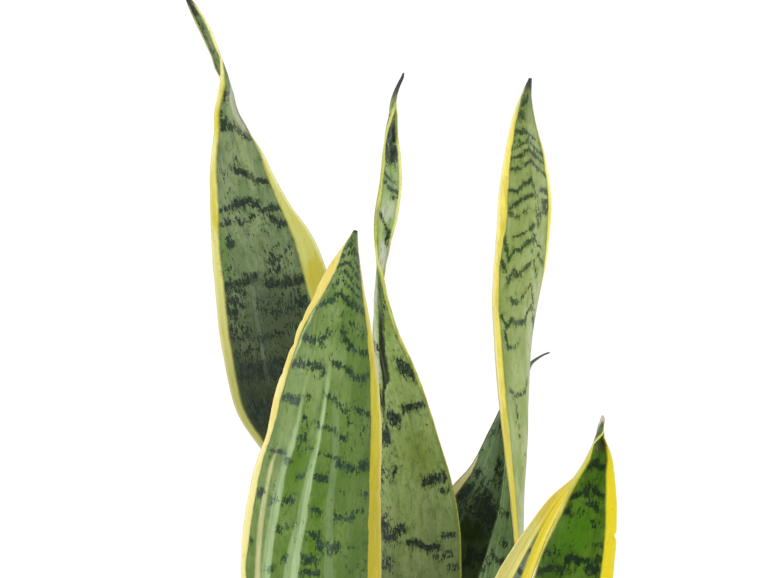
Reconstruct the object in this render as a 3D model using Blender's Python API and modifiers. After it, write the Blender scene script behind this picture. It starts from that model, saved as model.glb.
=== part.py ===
"""Potted laurentii snake plant.

Eight stiff upright leaves with yellow edges grow in two shoots from potting mix in a
plain terracotta pot. Sizes are in metres unless a name says otherwise. +Z is up, and
the pot stands on z = 0 with its axis on Z.
"""

import math

import bmesh
import bpy
import numpy as np
from mathutils import Vector

MM = 0.001

# Pot
POT_HEIGHT = 0.135
POT_BASE_RADIUS = 0.060
POT_BODY_RADIUS = 0.0765
POT_WALL = 0.0050
POT_FLOOR = 0.0090
RIM_RADIUS = 0.0825
RIM_HEIGHT = 0.0320
RIM_STEP = 0.0015
POT_SEGMENTS = 64
DRAIN_RADIUS = 0.006
DRAIN_CIRCLE = 0.030
DRAIN_COUNT = 3

# Potting mix
SOIL_LEVEL = 0.1205
SOIL_GAP = 0.0003
SOIL_SEGMENTS = 48
SOIL_RINGS = 8
MOUND_HEIGHT = 0.0055
MOUND_SPREAD = 0.030
LUMP_HEIGHT = 0.0009
SHOOTS = ((-0.018, 0.001), (0.043, -0.003))

# Leaves
SOCKET_GAP = 0.35 * MM
SOCKET_ROWS = 6
ROWS_PER_SPAN = 3
SIDE_POINTS = 7
EDGE_HALF_THICKNESS = 0.45 * MM
LEAST_HALF_THICKNESS = 0.33 * MM
BASE_HALF_THICKNESS = 4.2 * MM
TAPER_POWER = 1.6
FLAT_ROLL = 0.001

# Each row is one station on a leaf's middle line, from the foot to the tip:
# x, y, z and the width laid flat, in millimetres, then turn and roll in degrees.
# Turn 0 shows the leaf's inner face to the front, and turn 180 its outer face.
# Roll is the angle of the arc that the leaf's section bends to. Below zero it bends
# towards the outer face.
LEAVES = {
    "leaf_back_left": (
        (-5.25, 24, 95, 25.25, 20, 110),
        (-6.5, 24, 120.5, 26.25, 20, 110),
        (-12, 26, 196, 31.5, 20, 96),
        (-23.5, 30, 266.75, 40.75, 18, 76),
        (-41, 36, 342.5, 53, 14, 56),
        (-54.25, 41, 395.75, 57.25, 10, 44),
        (-65.25, 43, 421.5, 64.75, 8, 38),
        (-69.5, 45, 441.75, 64.5, 8, 38),
        (-78.5, 49, 484.5, 56.5, 6, 38),
        (-89.5, 52, 519, 37.75, 8, 40),
        (-93.25, 53, 534.75, 29, 11, 20),
        (-96, 55, 550.5, 19.25, 14, -24),
        (-98.25, 56, 561.75, 14, 18, -60),
        (-98, 57, 571, 11, 32, -100),
        (-97.5, 57, 576.25, 11, 60, -140),
        (-98.5, 58, 581, 12.5, 92, -164),
        (-100.5, 58, 585.5, 11, 114, -160),
        (-105, 59, 594, 6.25, 148, -90),
        (-110, 60, 604.75, 6.25, 168, -60),
        (-115.5, 61, 614.75, 5, 174, -80),
        (-120.25, 62, 623, 1.6, 178, -120),
    ),
    "leaf_front_left": (
        (-31.25, -20, 104, 29.75, 180, 110),
        (-33.25, -24, 129.5, 31.5, 180, 110),
        (-44, -40, 211, 49, 180, 76),
        (-51, -52, 280.5, 65, 180, 54),
        (-53, -58, 334.5, 70, 180, 44),
        (-49.75, -60, 378.25, 63.75, 180, 40),
        (-47, -60, 392.75, 58.75, 180, 41),
        (-45, -59, 415.5, 53.25, 180, 42),
        (-41.75, -57, 448.75, 39, 180, 50),
        (-37.5, -55, 475, 21.75, 180, 70),
        (-33.25, -53, 492.25, 7.5, 180, 110),
        (-31.25, -52, 499, 1.9, 180, 150),
    ),
    "leaf_middle": (
        (-11.5, -7, 101.5, 26, 174, 110),
        (-11.5, -7, 126.25, 27, 174, 110),
        (-8.5, -7, 226, 38.75, 170, 80),
        (-5.5, -8, 295.75, 50.75, 165, 60),
        (-5.25, -8, 345.5, 52.75, 162, 52),
        (-7, -9, 370.5, 48.25, 160, 52),
        (-9.5, -9, 390.5, 41.75, 158, 54),
        (-13.75, -10, 425.25, 28.5, 150, 60),
        (-18.75, -11, 452.5, 15.75, 139, 68),
        (-19.75, -11, 460.5, 13.75, 129, 84),
        (-20.5, -12, 468.5, 13, 113, 100),
        (-20.5, -12, 475, 12.75, 93, 124),
        (-20.25, -12, 479.5, 12.25, 83, 112),
        (-20, -13, 486, 11.5, 62, 86),
        (-19.25, -13, 492.75, 11, 40, 80),
        (-16.75, -13, 507.75, 13, 13, 74),
        (-14.25, -14, 524.5, 12, 0, 80),
        (-14.25, -14, 536.5, 10.75, 12, 106),
        (-15.25, -14, 546, 10.5, 38, 160),
        (-15, -14, 551.5, 10, 50, 176),
        (-14.5, -14, 556.25, 9.25, 66, 184),
        (-14.25, -14, 561.25, 8.5, 86, 200),
        (-13.25, -14, 565.75, 6, 95, 220),
        (-11.25, -14, 570.75, 4, 100, 220),
        (-8.75, -14, 575.75, 3, 102, 220),
        (-7.75, -14, 577.75, 1, 104, 180),
    ),
    "leaf_tall_right": (
        (55.25, 4, 99.25, 21, 270, 104),
        (55.25, 4, 124.25, 22, 270, 104),
        (54.25, 4, 194.5, 24, 270, 76),
        (52.75, 4, 264.5, 24, 270, 50),
        (50.5, 3, 334.75, 23, 268, 36),
        (50.5, 2, 365, 25, 258, 52),
        (51.5, 1, 390, 27, 244, 74),
        (50.75, 0, 415, 27.5, 234, 80),
        (50, -1, 442.5, 27.75, 222, 80),
        (50.5, -3, 465, 29.5, 210, 80),
        (53, -5, 487.5, 31.5, 202, 80),
        (54.25, -7, 509, 31, 196, 80),
        (53.25, -9, 532.25, 25, 192, 84),
        (52, -11, 552.5, 14.75, 188, 96),
        (53.5, -12, 567.5, 5.5, 186, 120),
        (55.25, -12, 575.25, 1.5, 185, 150),
    ),
    "leaf_leaning_right": (
        (-8.5, 9, 98, 21, -30, 110),
        (-7.5, 9, 123.25, 22, -30, 110),
        (-2, 12, 233.5, 27.25, -18, 76),
        (7.75, 17, 295.5, 31.25, -12, 56),
        (17.5, 21, 334.5, 32.5, -8, 46),
        (27, 25, 359.5, 29.5, -6, 46),
        (35.5, 28, 378.5, 18.25, -4, 56),
        (40, 30, 395.75, 10.5, -2, 70),
        (43.25, 31, 408, 5.5, 0, 100),
        (45.5, 32, 418, 1.5, 0, 150),
    ),
    "leaf_front_right": (
        (45.75, -23, 104.75, 21.75, 180, 110),
        (47, -24, 129.5, 22.75, 180, 110),
        (57, -33, 239.25, 33.5, 180, 76),
        (67.5, -39, 296.5, 41, 180, 54),
        (75.5, -42, 329.5, 39.25, 180, 46),
        (81.75, -44, 356.75, 30.5, 180, 46),
        (85, -45, 375, 22, 184, 24),
        (86.25, -45, 381.75, 17.5, 186, -10),
        (87, -46, 389.5, 13, 192, -50),
        (86.25, -46, 395, 10.5, 210, -140),
        (86, -46, 397.75, 10, 238, -180),
        (86.5, -46, 400.25, 9.5, 258, -200),
        (87, -46, 403.25, 7.5, 274, -220),
        (88, -46, 405.75, 5.25, 276, -220),
        (88.5, -46, 407.5, 4.5, 278, -210),
        (89, -46, 409, 1.9, 278, -180),
    ),
    "leaf_narrow_right": (
        (30.75, -8, 101.5, 19, 0, 116),
        (30.75, -8, 126.5, 20, 0, 116),
        (31.25, -11, 206.5, 22, 0, 100),
        (33, -15, 261.75, 22.75, 0, 90),
        (38.5, -20, 302, 21.75, 0, 80),
        (45.25, -23, 325.5, 18.75, 0, 76),
        (51.75, -25, 339.25, 15.25, 0, 76),
        (59.25, -27, 353, 11.5, 0, 80),
        (67, -28, 365.25, 8.5, 0, 90),
        (74.25, -28, 374, 4.5, 0, 120),
        (79.5, -28, 380, 1.5, 0, 150),
    ),
    "leaf_thread_tip": (
        (36, 14, 97, 19, 5, 110),
        (35.5, 14, 122.25, 20.25, 5, 110),
        (34, 18, 187.25, 21.25, 5, 96),
        (32.75, 26, 252, 23.25, 4, 76),
        (37, 33, 307, 23.5, 2, 60),
        (41.5, 38, 342.5, 21, 0, 54),
        (45.5, 40, 373, 17, 0, 54),
        (48.75, 40, 398.5, 13.25, 0, 60),
        (51.5, 41, 416.25, 8.75, 0, 80),
        (54.5, 41, 427, 4.5, 0, 120),
        (58.25, 42, 433, 1.8, 0, 150),
        (61.75, 42, 435.5, 1.1, 0, 110),
        (65, 42, 437.25, 0.8, 0, 80),
        (67.25, 42, 438, 0.8, 0, 60),
    ),
}


# Scene

def clear_scene():
    for obj in list(bpy.data.objects):
        bpy.data.objects.remove(obj, do_unlink=True)


def new_collection(name):
    collection = bpy.data.collections.new(name)
    bpy.context.scene.collection.children.link(collection)
    return collection


def new_material(name, colour, roughness, metallic=0.0):
    material = bpy.data.materials.new(name)
    material.use_nodes = True
    shader = material.node_tree.nodes["Principled BSDF"]
    shader.inputs["Base Color"].default_value = (*colour, 1.0)
    shader.inputs["Roughness"].default_value = roughness
    shader.inputs["Metallic"].default_value = metallic
    material.diffuse_color = (*colour, 1.0)
    return material


def add_object(name, bm, collection, material=None, smooth_angle=40.0):
    mesh = bpy.data.meshes.new(name)
    bm.to_mesh(mesh)
    bm.free()
    obj = bpy.data.objects.new(name, mesh)
    collection.objects.link(obj)
    if material:
        mesh.materials.append(material)
        mesh.shade_smooth()
        mesh.set_sharp_from_angle(angle=math.radians(smooth_angle))
    return obj


def make_cutter(obj):
    obj.hide_render = True
    obj.display_type = "WIRE"
    return obj


def cut(target, cutter):
    modifier = target.modifiers.new("cut " + cutter.name, "BOOLEAN")
    modifier.operation = "DIFFERENCE"
    modifier.object = cutter


# Leaf curve

def smooth_slopes(knots, values):
    """Slopes of a curve that passes smoothly through uneven stations."""
    steps = np.diff(knots)[:, None]
    rates = np.diff(values, axis=0) / steps
    slopes = np.empty_like(values)
    slopes[0] = rates[0]
    slopes[-1] = rates[-1]
    before, after = steps[:-1], steps[1:]
    slopes[1:-1] = (after * rates[:-1] + before * rates[1:]) / (before + after)
    return slopes


def level_slopes(knots, values):
    """Slopes that never carry a curve past the stations it runs between."""
    steps = np.diff(knots)[:, None]
    rates = np.diff(values, axis=0) / steps
    slopes = np.zeros_like(values)
    slopes[0] = rates[0]
    slopes[-1] = rates[-1]
    before, after = steps[:-1], steps[1:]
    low = 2 * before + after
    high = before + 2 * after
    rising = rates[:-1] * rates[1:] > 0
    first = np.where(rising, rates[:-1], 1.0)
    second = np.where(rising, rates[1:], 1.0)
    mean = (low + high) / (high / first + low / second)
    slopes[1:-1] = np.where(rising, mean, 0.0)
    return slopes


class Leaf:
    """One leaf's middle line and sections, read from its stations."""

    def __init__(self, stations):
        rows = np.array(stations, float)
        rows[:, :4] *= MM
        rows[:, 4:] = np.radians(rows[:, 4:])
        spans = np.linalg.norm(np.diff(rows[:, :3], axis=0), axis=1)
        self.knots = np.concatenate([[0.0], np.cumsum(spans)])
        self.length = self.knots[-1]
        self.rows = rows
        self.slopes = np.hstack([
            smooth_slopes(self.knots, rows[:, :3]),
            level_slopes(self.knots, rows[:, 3:]),
        ])

    def values(self, distance):
        """Place, width, turn and roll at a distance from the foot."""
        last = len(self.knots) - 2
        span = int(np.clip(np.searchsorted(self.knots, distance) - 1, 0, last))
        step = self.knots[span + 1] - self.knots[span]
        part = (distance - self.knots[span]) / step
        rest = 1.0 - part
        return (
            (1 + 2 * part) * rest * rest * self.rows[span]
            + part * rest * rest * step * self.slopes[span]
            + part * part * (3 - 2 * part) * self.rows[span + 1]
            - part * part * rest * step * self.slopes[span + 1]
        )

    def frame(self, distance):
        """Centre, cross axis, inward axis, half width and half roll of a section."""
        reach = 0.5 * MM
        place = self.values(distance)
        ahead = self.values(min(distance + reach, self.length))
        behind = self.values(max(distance - reach, 0.0))
        along = Vector(ahead[:3] - behind[:3]).normalized()
        level = Vector((1.0, 0.0, 0.0))
        level = (level - along * along.dot(level)).normalized()
        depth = along.cross(level)
        width, turn, roll = place[3:].tolist()
        if abs(roll) < FLAT_ROLL:
            roll = FLAT_ROLL
        across = math.cos(turn) * level + math.sin(turn) * depth
        inward = across.cross(along)
        return Vector(place[:3]), across, inward, width / 2, roll / 2

    def half_thickness(self, distance, half_width, half_roll):
        """Half of the leaf's thickness at its middle line."""
        left = max(0.0, 1.0 - distance / self.length)
        thick = EDGE_HALF_THICKNESS
        thick += (BASE_HALF_THICKNESS - EDGE_HALF_THICKNESS) * left ** TAPER_POWER
        thick = min(thick, 0.44 * half_width, 0.4 * half_width / abs(half_roll))
        return max(thick, LEAST_HALF_THICKNESS)

    def point(self, distance, across_part, side, grow=0.0):
        """A surface point: across_part runs -1 to 1, side is 1 inside and -1 outside."""
        centre, across, inward, half_width, half_roll = self.frame(distance)
        middle = self.half_thickness(distance, half_width, half_roll)
        edge = min(middle, EDGE_HALF_THICKNESS)
        thick = edge + (middle - edge) * (1 - abs(across_part) ** TAPER_POWER)
        bend = half_roll * across_part
        normal = math.cos(bend) * inward - math.sin(bend) * across
        tangent = math.cos(bend) * across + math.sin(bend) * inward
        place = centre + (half_width / half_roll) * (
            math.sin(bend) * across + (1 - math.cos(bend)) * inward
        )
        place = place + normal * (side * (thick + grow))
        if abs(across_part) > 0.999:
            place = place + tangent * (math.copysign(grow, across_part))
        return place


def row_distances(leaf):
    """Distances of the mesh rows: each span between two stations takes equal steps."""
    distances = []
    for start, end in zip(leaf.knots[:-1], leaf.knots[1:]):
        for step in range(ROWS_PER_SPAN):
            distances.append(start + (end - start) * step / ROWS_PER_SPAN)
    distances.append(leaf.length)
    return distances


def loft_leaf(leaf, distances, grow=0.0):
    """A closed tube, drawn out into the leaf's flat and rolled sections."""
    rows = len(distances)
    sides = 2 * SIDE_POINTS
    bm = bmesh.new()
    bmesh.ops.create_cone(
        bm, cap_ends=True, segments=sides, radius1=1.0, radius2=1.0, depth=1.0
    )
    upright = [e for e in bm.edges if abs(e.verts[0].co.z - e.verts[1].co.z) > 0.5]
    bmesh.ops.subdivide_edges(bm, edges=upright, cuts=rows - 2, use_grid_fill=True)

    # Place of each point: its row, its share across the leaf, and its face
    grid = {}
    for vert in bm.verts:
        angle = math.atan2(vert.co.y, vert.co.x) % math.tau
        column = int(angle / math.tau * sides + 0.25) % sides
        row = round((vert.co.z + 0.5) * (rows - 1))
        outside = column < SIDE_POINTS
        step = column if outside else sides - 1 - column
        across_part = 1 - 2 * step / (SIDE_POINTS - 1)
        grid[vert] = (row, across_part, -1 if outside else 1)
    for vert, (row, across_part, side) in grid.items():
        vert.co = leaf.point(distances[row], across_part, side, grow)

    # The same diagonal on both faces keeps a waved blade from crossing itself
    for face in list(bm.faces):
        if len(face.verts) == 4:
            corners = sorted(face.verts, key=grid.get)
            bmesh.utils.face_split(face, corners[0], corners[-1])
    for end in (0, rows - 1):
        for step in range(1, SIDE_POINTS - 1):
            across_part = 1 - 2 * step / (SIDE_POINTS - 1)
            pair = [v for v in bm.verts if grid[v][:2] == (end, across_part)]
            bmesh.ops.connect_verts(bm, verts=pair)
    bmesh.ops.triangulate(bm, faces=[f for f in bm.faces if len(f.verts) > 3])
    return bm


# Pot and potting mix

def rounded_profile(corners, steps=3):
    """Points of an outline (radius, height, corner size) with its corners rounded."""
    points = []
    for index, (radius, height, size) in enumerate(corners):
        here = Vector((radius, height))
        if size == 0.0:
            points.append(here)
            continue
        back = Vector(corners[index - 1][:2])
        front = Vector(corners[index + 1][:2])
        start = here + (back - here).normalized() * size
        end = here + (front - here).normalized() * size
        for step in range(steps + 1):
            part = step / steps
            first = start.lerp(here, part)
            points.append(first.lerp(here.lerp(end, part), part))
    return points


def inner_radius(height):
    """Radius of the pot's inner wall at a height."""
    low = POT_BASE_RADIUS - POT_WALL
    high = POT_BODY_RADIUS - 0.2 * POT_WALL
    return low + (high - low) * (height - POT_FLOOR) / (POT_HEIGHT - POT_FLOOR)


def build_pot(collection, cutters, material):
    rim_foot = POT_HEIGHT - RIM_HEIGHT
    corners = [
        (0.0, POT_FLOOR, 0.0),
        (inner_radius(POT_FLOOR), POT_FLOOR, 0.006),
        (inner_radius(POT_HEIGHT), POT_HEIGHT, 0.0022),
        (RIM_RADIUS, POT_HEIGHT, 0.0030),
        (RIM_RADIUS - RIM_STEP, rim_foot, 0.0018),
        (POT_BODY_RADIUS, rim_foot - RIM_STEP, 0.0012),
        (POT_BASE_RADIUS, 0.0, 0.0025),
        (0.0, 0.0, 0.0),
    ]
    bm = bmesh.new()
    verts = [bm.verts.new((p.x, 0.0, p.y)) for p in rounded_profile(corners)]
    for first, second in zip(verts[:-1], verts[1:]):
        bm.edges.new((first, second))
    pot = add_object("pot", bm, collection, material, 30.0)
    screw = pot.modifiers.new("turned", "SCREW")
    screw.axis = "Z"
    screw.steps = POT_SEGMENTS
    screw.render_steps = POT_SEGMENTS
    screw.use_merge_vertices = True
    screw.merge_threshold = 0.00001
    screw.use_smooth_shade = True

    # Drain holes through the floor
    for index in range(DRAIN_COUNT):
        angle = math.tau * (index + 0.25) / DRAIN_COUNT
        bm = bmesh.new()
        bmesh.ops.create_cone(
            bm, cap_ends=True, segments=20, radius1=DRAIN_RADIUS,
            radius2=DRAIN_RADIUS, depth=4 * POT_FLOOR,
        )
        drill = make_cutter(add_object(f"drain_cutter_{index + 1}", bm, cutters))
        drill.location = (
            DRAIN_CIRCLE * math.cos(angle), DRAIN_CIRCLE * math.sin(angle), 0.0
        )
        cut(pot, drill)
    return pot


def soil_height(x, y):
    """Height of the potting mix: a low mound at each shoot and small lumps."""
    edge = inner_radius(SOIL_LEVEL) - SOIL_GAP
    calm = 1.0 - min(1.0, math.hypot(x, y) / edge) ** 4
    mound = sum(
        math.exp(-((x - cx) ** 2 + (y - cy) ** 2) / MOUND_SPREAD ** 2)
        for cx, cy in SHOOTS
    )
    lumps = math.sin(170 * x + 60 * y) + math.sin(210 * y - 90 * x + 1.3)
    lumps += math.sin(330 * x + 2.1) * math.cos(290 * y)
    return SOIL_LEVEL + calm * (MOUND_HEIGHT * min(mound, 1.0) + LUMP_HEIGHT * lumps)


def build_soil(collection, cutters, material, leaves):
    top_radius = inner_radius(SOIL_LEVEL) - SOIL_GAP
    low = POT_FLOOR + SOIL_GAP
    corners = [(0.0, low, 0.0), (inner_radius(low) - 0.007, low, 0.0)]
    corners.append((inner_radius(low + 0.007) - SOIL_GAP, low + 0.007, 0.0))
    for ring in range(SOIL_RINGS, -1, -1):
        corners.append((top_radius * ring / SOIL_RINGS, SOIL_LEVEL, 0.0))
    bm = bmesh.new()
    verts = [bm.verts.new((p.x, 0.0, p.y)) for p in rounded_profile(corners)]
    edges = [bm.edges.new(pair) for pair in zip(verts[:-1], verts[1:])]
    bmesh.ops.spin(
        bm, geom=verts + edges, cent=(0, 0, 0), axis=(0, 0, 1), dvec=(0, 0, 0),
        angle=math.tau, steps=SOIL_SEGMENTS, use_merge=True,
    )
    bmesh.ops.remove_doubles(bm, verts=bm.verts, dist=0.00001)
    for vert in bm.verts:
        if vert.co.z > SOIL_LEVEL - 0.0001:
            vert.co.z = soil_height(vert.co.x, vert.co.y)
    bmesh.ops.triangulate(bm, faces=bm.faces)
    bmesh.ops.recalc_face_normals(bm, faces=bm.faces)
    soil = add_object("soil", bm, collection, material, 60.0)

    # A plain socket for each leaf's foot
    for name, leaf in leaves.items():
        distances = row_distances(leaf)[:SOCKET_ROWS]
        distances[0] -= SOCKET_GAP
        bm = loft_leaf(leaf, distances, SOCKET_GAP)
        cut(soil, make_cutter(add_object(name + "_socket", bm, cutters)))
    return soil


def build():
    clear_scene()
    parts = new_collection("Potted laurentii snake plant")
    cutters = new_collection("Cutters")
    terracotta = new_material("terracotta", (0.50, 0.20, 0.10), 0.85)
    potting_mix = new_material("potting mix", (0.045, 0.030, 0.020), 0.95)
    leaf_green = new_material("leaf green", (0.13, 0.27, 0.06), 0.40)
    leaf_dark = new_material("leaf dark green", (0.06, 0.14, 0.05), 0.40)
    build_pot(parts, cutters, terracotta)
    leaves = {name: Leaf(stations) for name, stations in LEAVES.items()}
    for index, (name, leaf) in enumerate(leaves.items()):
        bm = loft_leaf(leaf, row_distances(leaf))
        add_object(name, bm, parts, leaf_dark if index % 2 else leaf_green, 60.0)
    build_soil(parts, cutters, potting_mix, leaves)


build()
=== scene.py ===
"""Potted laurentii snake plant: fine leaves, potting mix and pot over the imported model."""

import math
import random

import bmesh
import bpy
import numpy as np
from mathutils import Matrix, Vector, noise


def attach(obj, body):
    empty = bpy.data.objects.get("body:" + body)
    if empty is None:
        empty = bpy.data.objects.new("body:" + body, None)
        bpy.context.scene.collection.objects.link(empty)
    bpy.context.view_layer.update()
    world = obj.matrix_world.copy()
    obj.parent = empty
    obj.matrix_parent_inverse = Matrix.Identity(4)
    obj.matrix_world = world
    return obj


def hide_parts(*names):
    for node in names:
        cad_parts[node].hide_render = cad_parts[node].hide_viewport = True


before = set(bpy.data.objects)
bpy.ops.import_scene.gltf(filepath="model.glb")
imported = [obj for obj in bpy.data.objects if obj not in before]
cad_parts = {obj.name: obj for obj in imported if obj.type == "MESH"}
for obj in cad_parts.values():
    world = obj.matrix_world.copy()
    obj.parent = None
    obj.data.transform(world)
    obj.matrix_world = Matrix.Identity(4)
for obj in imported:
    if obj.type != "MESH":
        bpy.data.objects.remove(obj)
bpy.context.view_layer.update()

MM = 0.001
ROOT = "root"

# Leaf sections. The rows are closer in the upper half, the points closer near the edges.
FACE_POINTS = 55
EDGE_CROWDING = 0.35
LOW_STEP = 2.0 * MM
HIGH_STEP = 1.0 * MM
RIM_INSET = 0.30 * MM
EDGE_HALF_THICKNESS = 0.45 * MM
LEAST_HALF_THICKNESS = 0.33 * MM
BASE_HALF_THICKNESS = 4.2 * MM
TAPER_POWER = 1.6
FLAT_ROLL = 0.001

# Edges and relief of a leaf, in mm: two waves along an edge, with their heights, and
# where the relief, the folds and the paler foot fade
LONG_WAVE, LONG_HEIGHT = 7.0, 0.10
SHORT_WAVE, SHORT_HEIGHT = 2.3, 0.04
CALM_HEIGHT, CALM_WIDTH = 70.0, 7
FOLD_FADE = 30.0
FOOT_HEIGHT, FOOT_FADE = 30.0, 70.0

# Cross bands and the soft patches round them. They fade over the end's mm past their
# ends, and the spread to each side is a multiple of the band's half thickness.
BAND_END, BAND_SPREAD = 1.6, 1.4
PATCH_END, PATCH_SPREAD, PATCH_EXTRA = 4.0, 1.5, 1.2
LOWEST_BAND = 40.0

# Pot and potting mix, as in the solids
POT_HEIGHT = 0.135
POT_BASE_RADIUS = 0.060
POT_BODY_RADIUS = 0.0765
POT_WALL = 0.0050
POT_FLOOR = 0.0090
RIM_RADIUS = 0.0825
RIM_HEIGHT = 0.0320
RIM_STEP = 0.0015
DRAIN_RADIUS = 0.006
DRAIN_CIRCLE = 0.030
DRAIN_COUNT = 3
FLOOR_RING = 0.045
SOIL_LEVEL = 0.1205
SOIL_GAP = 0.0003
MOUND_HEIGHT = 0.0055
MOUND_SPREAD = 0.030
LUMP_HEIGHT = 0.0009
SHOOTS = ((-0.018, 0.001), (0.043, -0.003))

# Meshes of the pot and the mix
WELD = 0.00001
POT_STEPS = 160
SOIL_STEPS = 200
SOIL_RINGS = 74
SOIL_CORNER = 0.007
SOIL_EDGE = 0.004

# Studio. The lens makes a picture 770 pixels wide, with a focal length of 3600 pixels.
SENSOR_WIDTH = 36.0
LENS = SENSOR_WIDTH * 3600.0 / 770.0
CAMERA_PLACE = (-0.017, -1.8, 0.4705)
LIGHT_AIM = (0.0, 0.0, 0.42)
FLOOR_RADIUS = 2.9
FLOOR_FADE = (0.45, 1.8)
BACKDROP_LIGHT, BACKDROP_SEEN = 0.34, 1.06


# Shader arithmetic

def linear(red, green, blue):
    """A colour picked in 0-255 steps, as the shader's linear values."""
    values = []
    for value in (red, green, blue):
        value /= 255.0
        values.append(value / 12.92 if value <= 0.04045 else ((value + 0.055) / 1.055) ** 2.4)
    return (*values, 1.0)


class Signal:
    """A shader value. Arithmetic on it adds Math nodes to its material."""

    def __init__(self, finish, socket):
        self.finish = finish
        self.socket = socket

    def math(self, operation, first, second=None):
        inputs = {0: first}
        if second is not None:
            inputs[1] = second
        return self.finish.add("Math", {"operation": operation}, inputs)

    def __add__(self, other):
        return self.math("ADD", self, other)

    __radd__ = __add__

    def __mul__(self, other):
        return self.math("MULTIPLY", self, other)

    __rmul__ = __mul__

    def __sub__(self, other):
        return self.math("SUBTRACT", self, other)

    def __rsub__(self, other):
        return self.math("SUBTRACT", other, self)

    def __abs__(self):
        return self.math("ABSOLUTE", self)

    def least(self, other):
        return self.math("MINIMUM", self, other)


class Finish:
    """One material, built from expressions."""

    def __init__(self, name):
        self.material = bpy.data.materials.new(name)
        self.material.use_nodes = True
        self.tree = self.material.node_tree
        self.shader = self.tree.nodes["Principled BSDF"]

    def add(self, kind, settings=None, inputs=None, output=0):
        node = self.tree.nodes.new("ShaderNode" + kind)
        for key, value in (settings or {}).items():
            setattr(node, key, value)
        for key, value in (inputs or {}).items():
            self.feed(node.inputs[key], value)
        return Signal(self, node.outputs[output])

    def feed(self, socket, value):
        if isinstance(value, Signal):
            self.tree.links.new(value.socket, socket)
        else:
            socket.default_value = value

    def set(self, name, value):
        self.feed(self.shader.inputs[name], value)

    def parts(self, vector):
        return [self.add("SeparateXYZ", None, {0: vector}, axis) for axis in range(3)]

    def attribute(self, name):
        """The three values of a point attribute of the piece's own mesh."""
        return self.parts(self.add("Attribute", {"attribute_name": name}, output=1))

    def place(self):
        """Object coordinates in metres."""
        return self.parts(self.add("TexCoord", output=3))

    def vector(self, x, y, z):
        return self.add("CombineXYZ", None, {0: x, 1: y, 2: z})

    def stretch(self, *factors):
        """Object coordinates, each times its own factor, or all in mm without any."""
        factors = factors or (1000.0, 1000.0, 1000.0)
        return self.vector(*[value * factor for value, factor in zip(self.place(), factors)])

    def noise(self, vector, scale, detail, roughness):
        inputs = {"Vector": vector, "Scale": scale, "Detail": detail, "Roughness": roughness}
        return self.add("TexNoise", None, inputs)

    def cells(self, vector, scale):
        return self.add("TexVoronoi", {"feature": "F1"}, {"Vector": vector, "Scale": scale})

    def ramp(self, value, low, high, start=0.0, end=1.0):
        """A smooth rise from start at low to end at high."""
        inputs = {"Value": value, "From Min": low, "From Max": high, "To Min": start, "To Max": end}
        return self.add("MapRange", {"interpolation_type": "SMOOTHSTEP"}, inputs)

    def mix(self, factor, first, second):
        inputs = {0: factor, 6: first, 7: second}
        return self.add("Mix", {"data_type": "RGBA"}, inputs, 2)

    def bump(self, height, distance):
        """Relief of a height in metres."""
        self.set("Normal", self.add("Bump", None, {"Height": height, "Distance": distance}))


# Leaf curve, the same as in the solids

def smooth_slopes(knots, values):
    steps = np.diff(knots)[:, None]
    rates = np.diff(values, axis=0) / steps
    slopes = np.empty_like(values)
    slopes[0], slopes[-1] = rates[0], rates[-1]
    before, after = steps[:-1], steps[1:]
    slopes[1:-1] = (after * rates[:-1] + before * rates[1:]) / (before + after)
    return slopes


def level_slopes(knots, values):
    steps = np.diff(knots)[:, None]
    rates = np.diff(values, axis=0) / steps
    slopes = np.zeros_like(values)
    slopes[0], slopes[-1] = rates[0], rates[-1]
    before, after = steps[:-1], steps[1:]
    low, high = 2 * before + after, before + 2 * after
    rising = rates[:-1] * rates[1:] > 0
    first = np.where(rising, rates[:-1], 1.0)
    second = np.where(rising, rates[1:], 1.0)
    slopes[1:-1] = np.where(rising, (low + high) / (high / first + low / second), 0.0)
    return slopes


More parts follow.
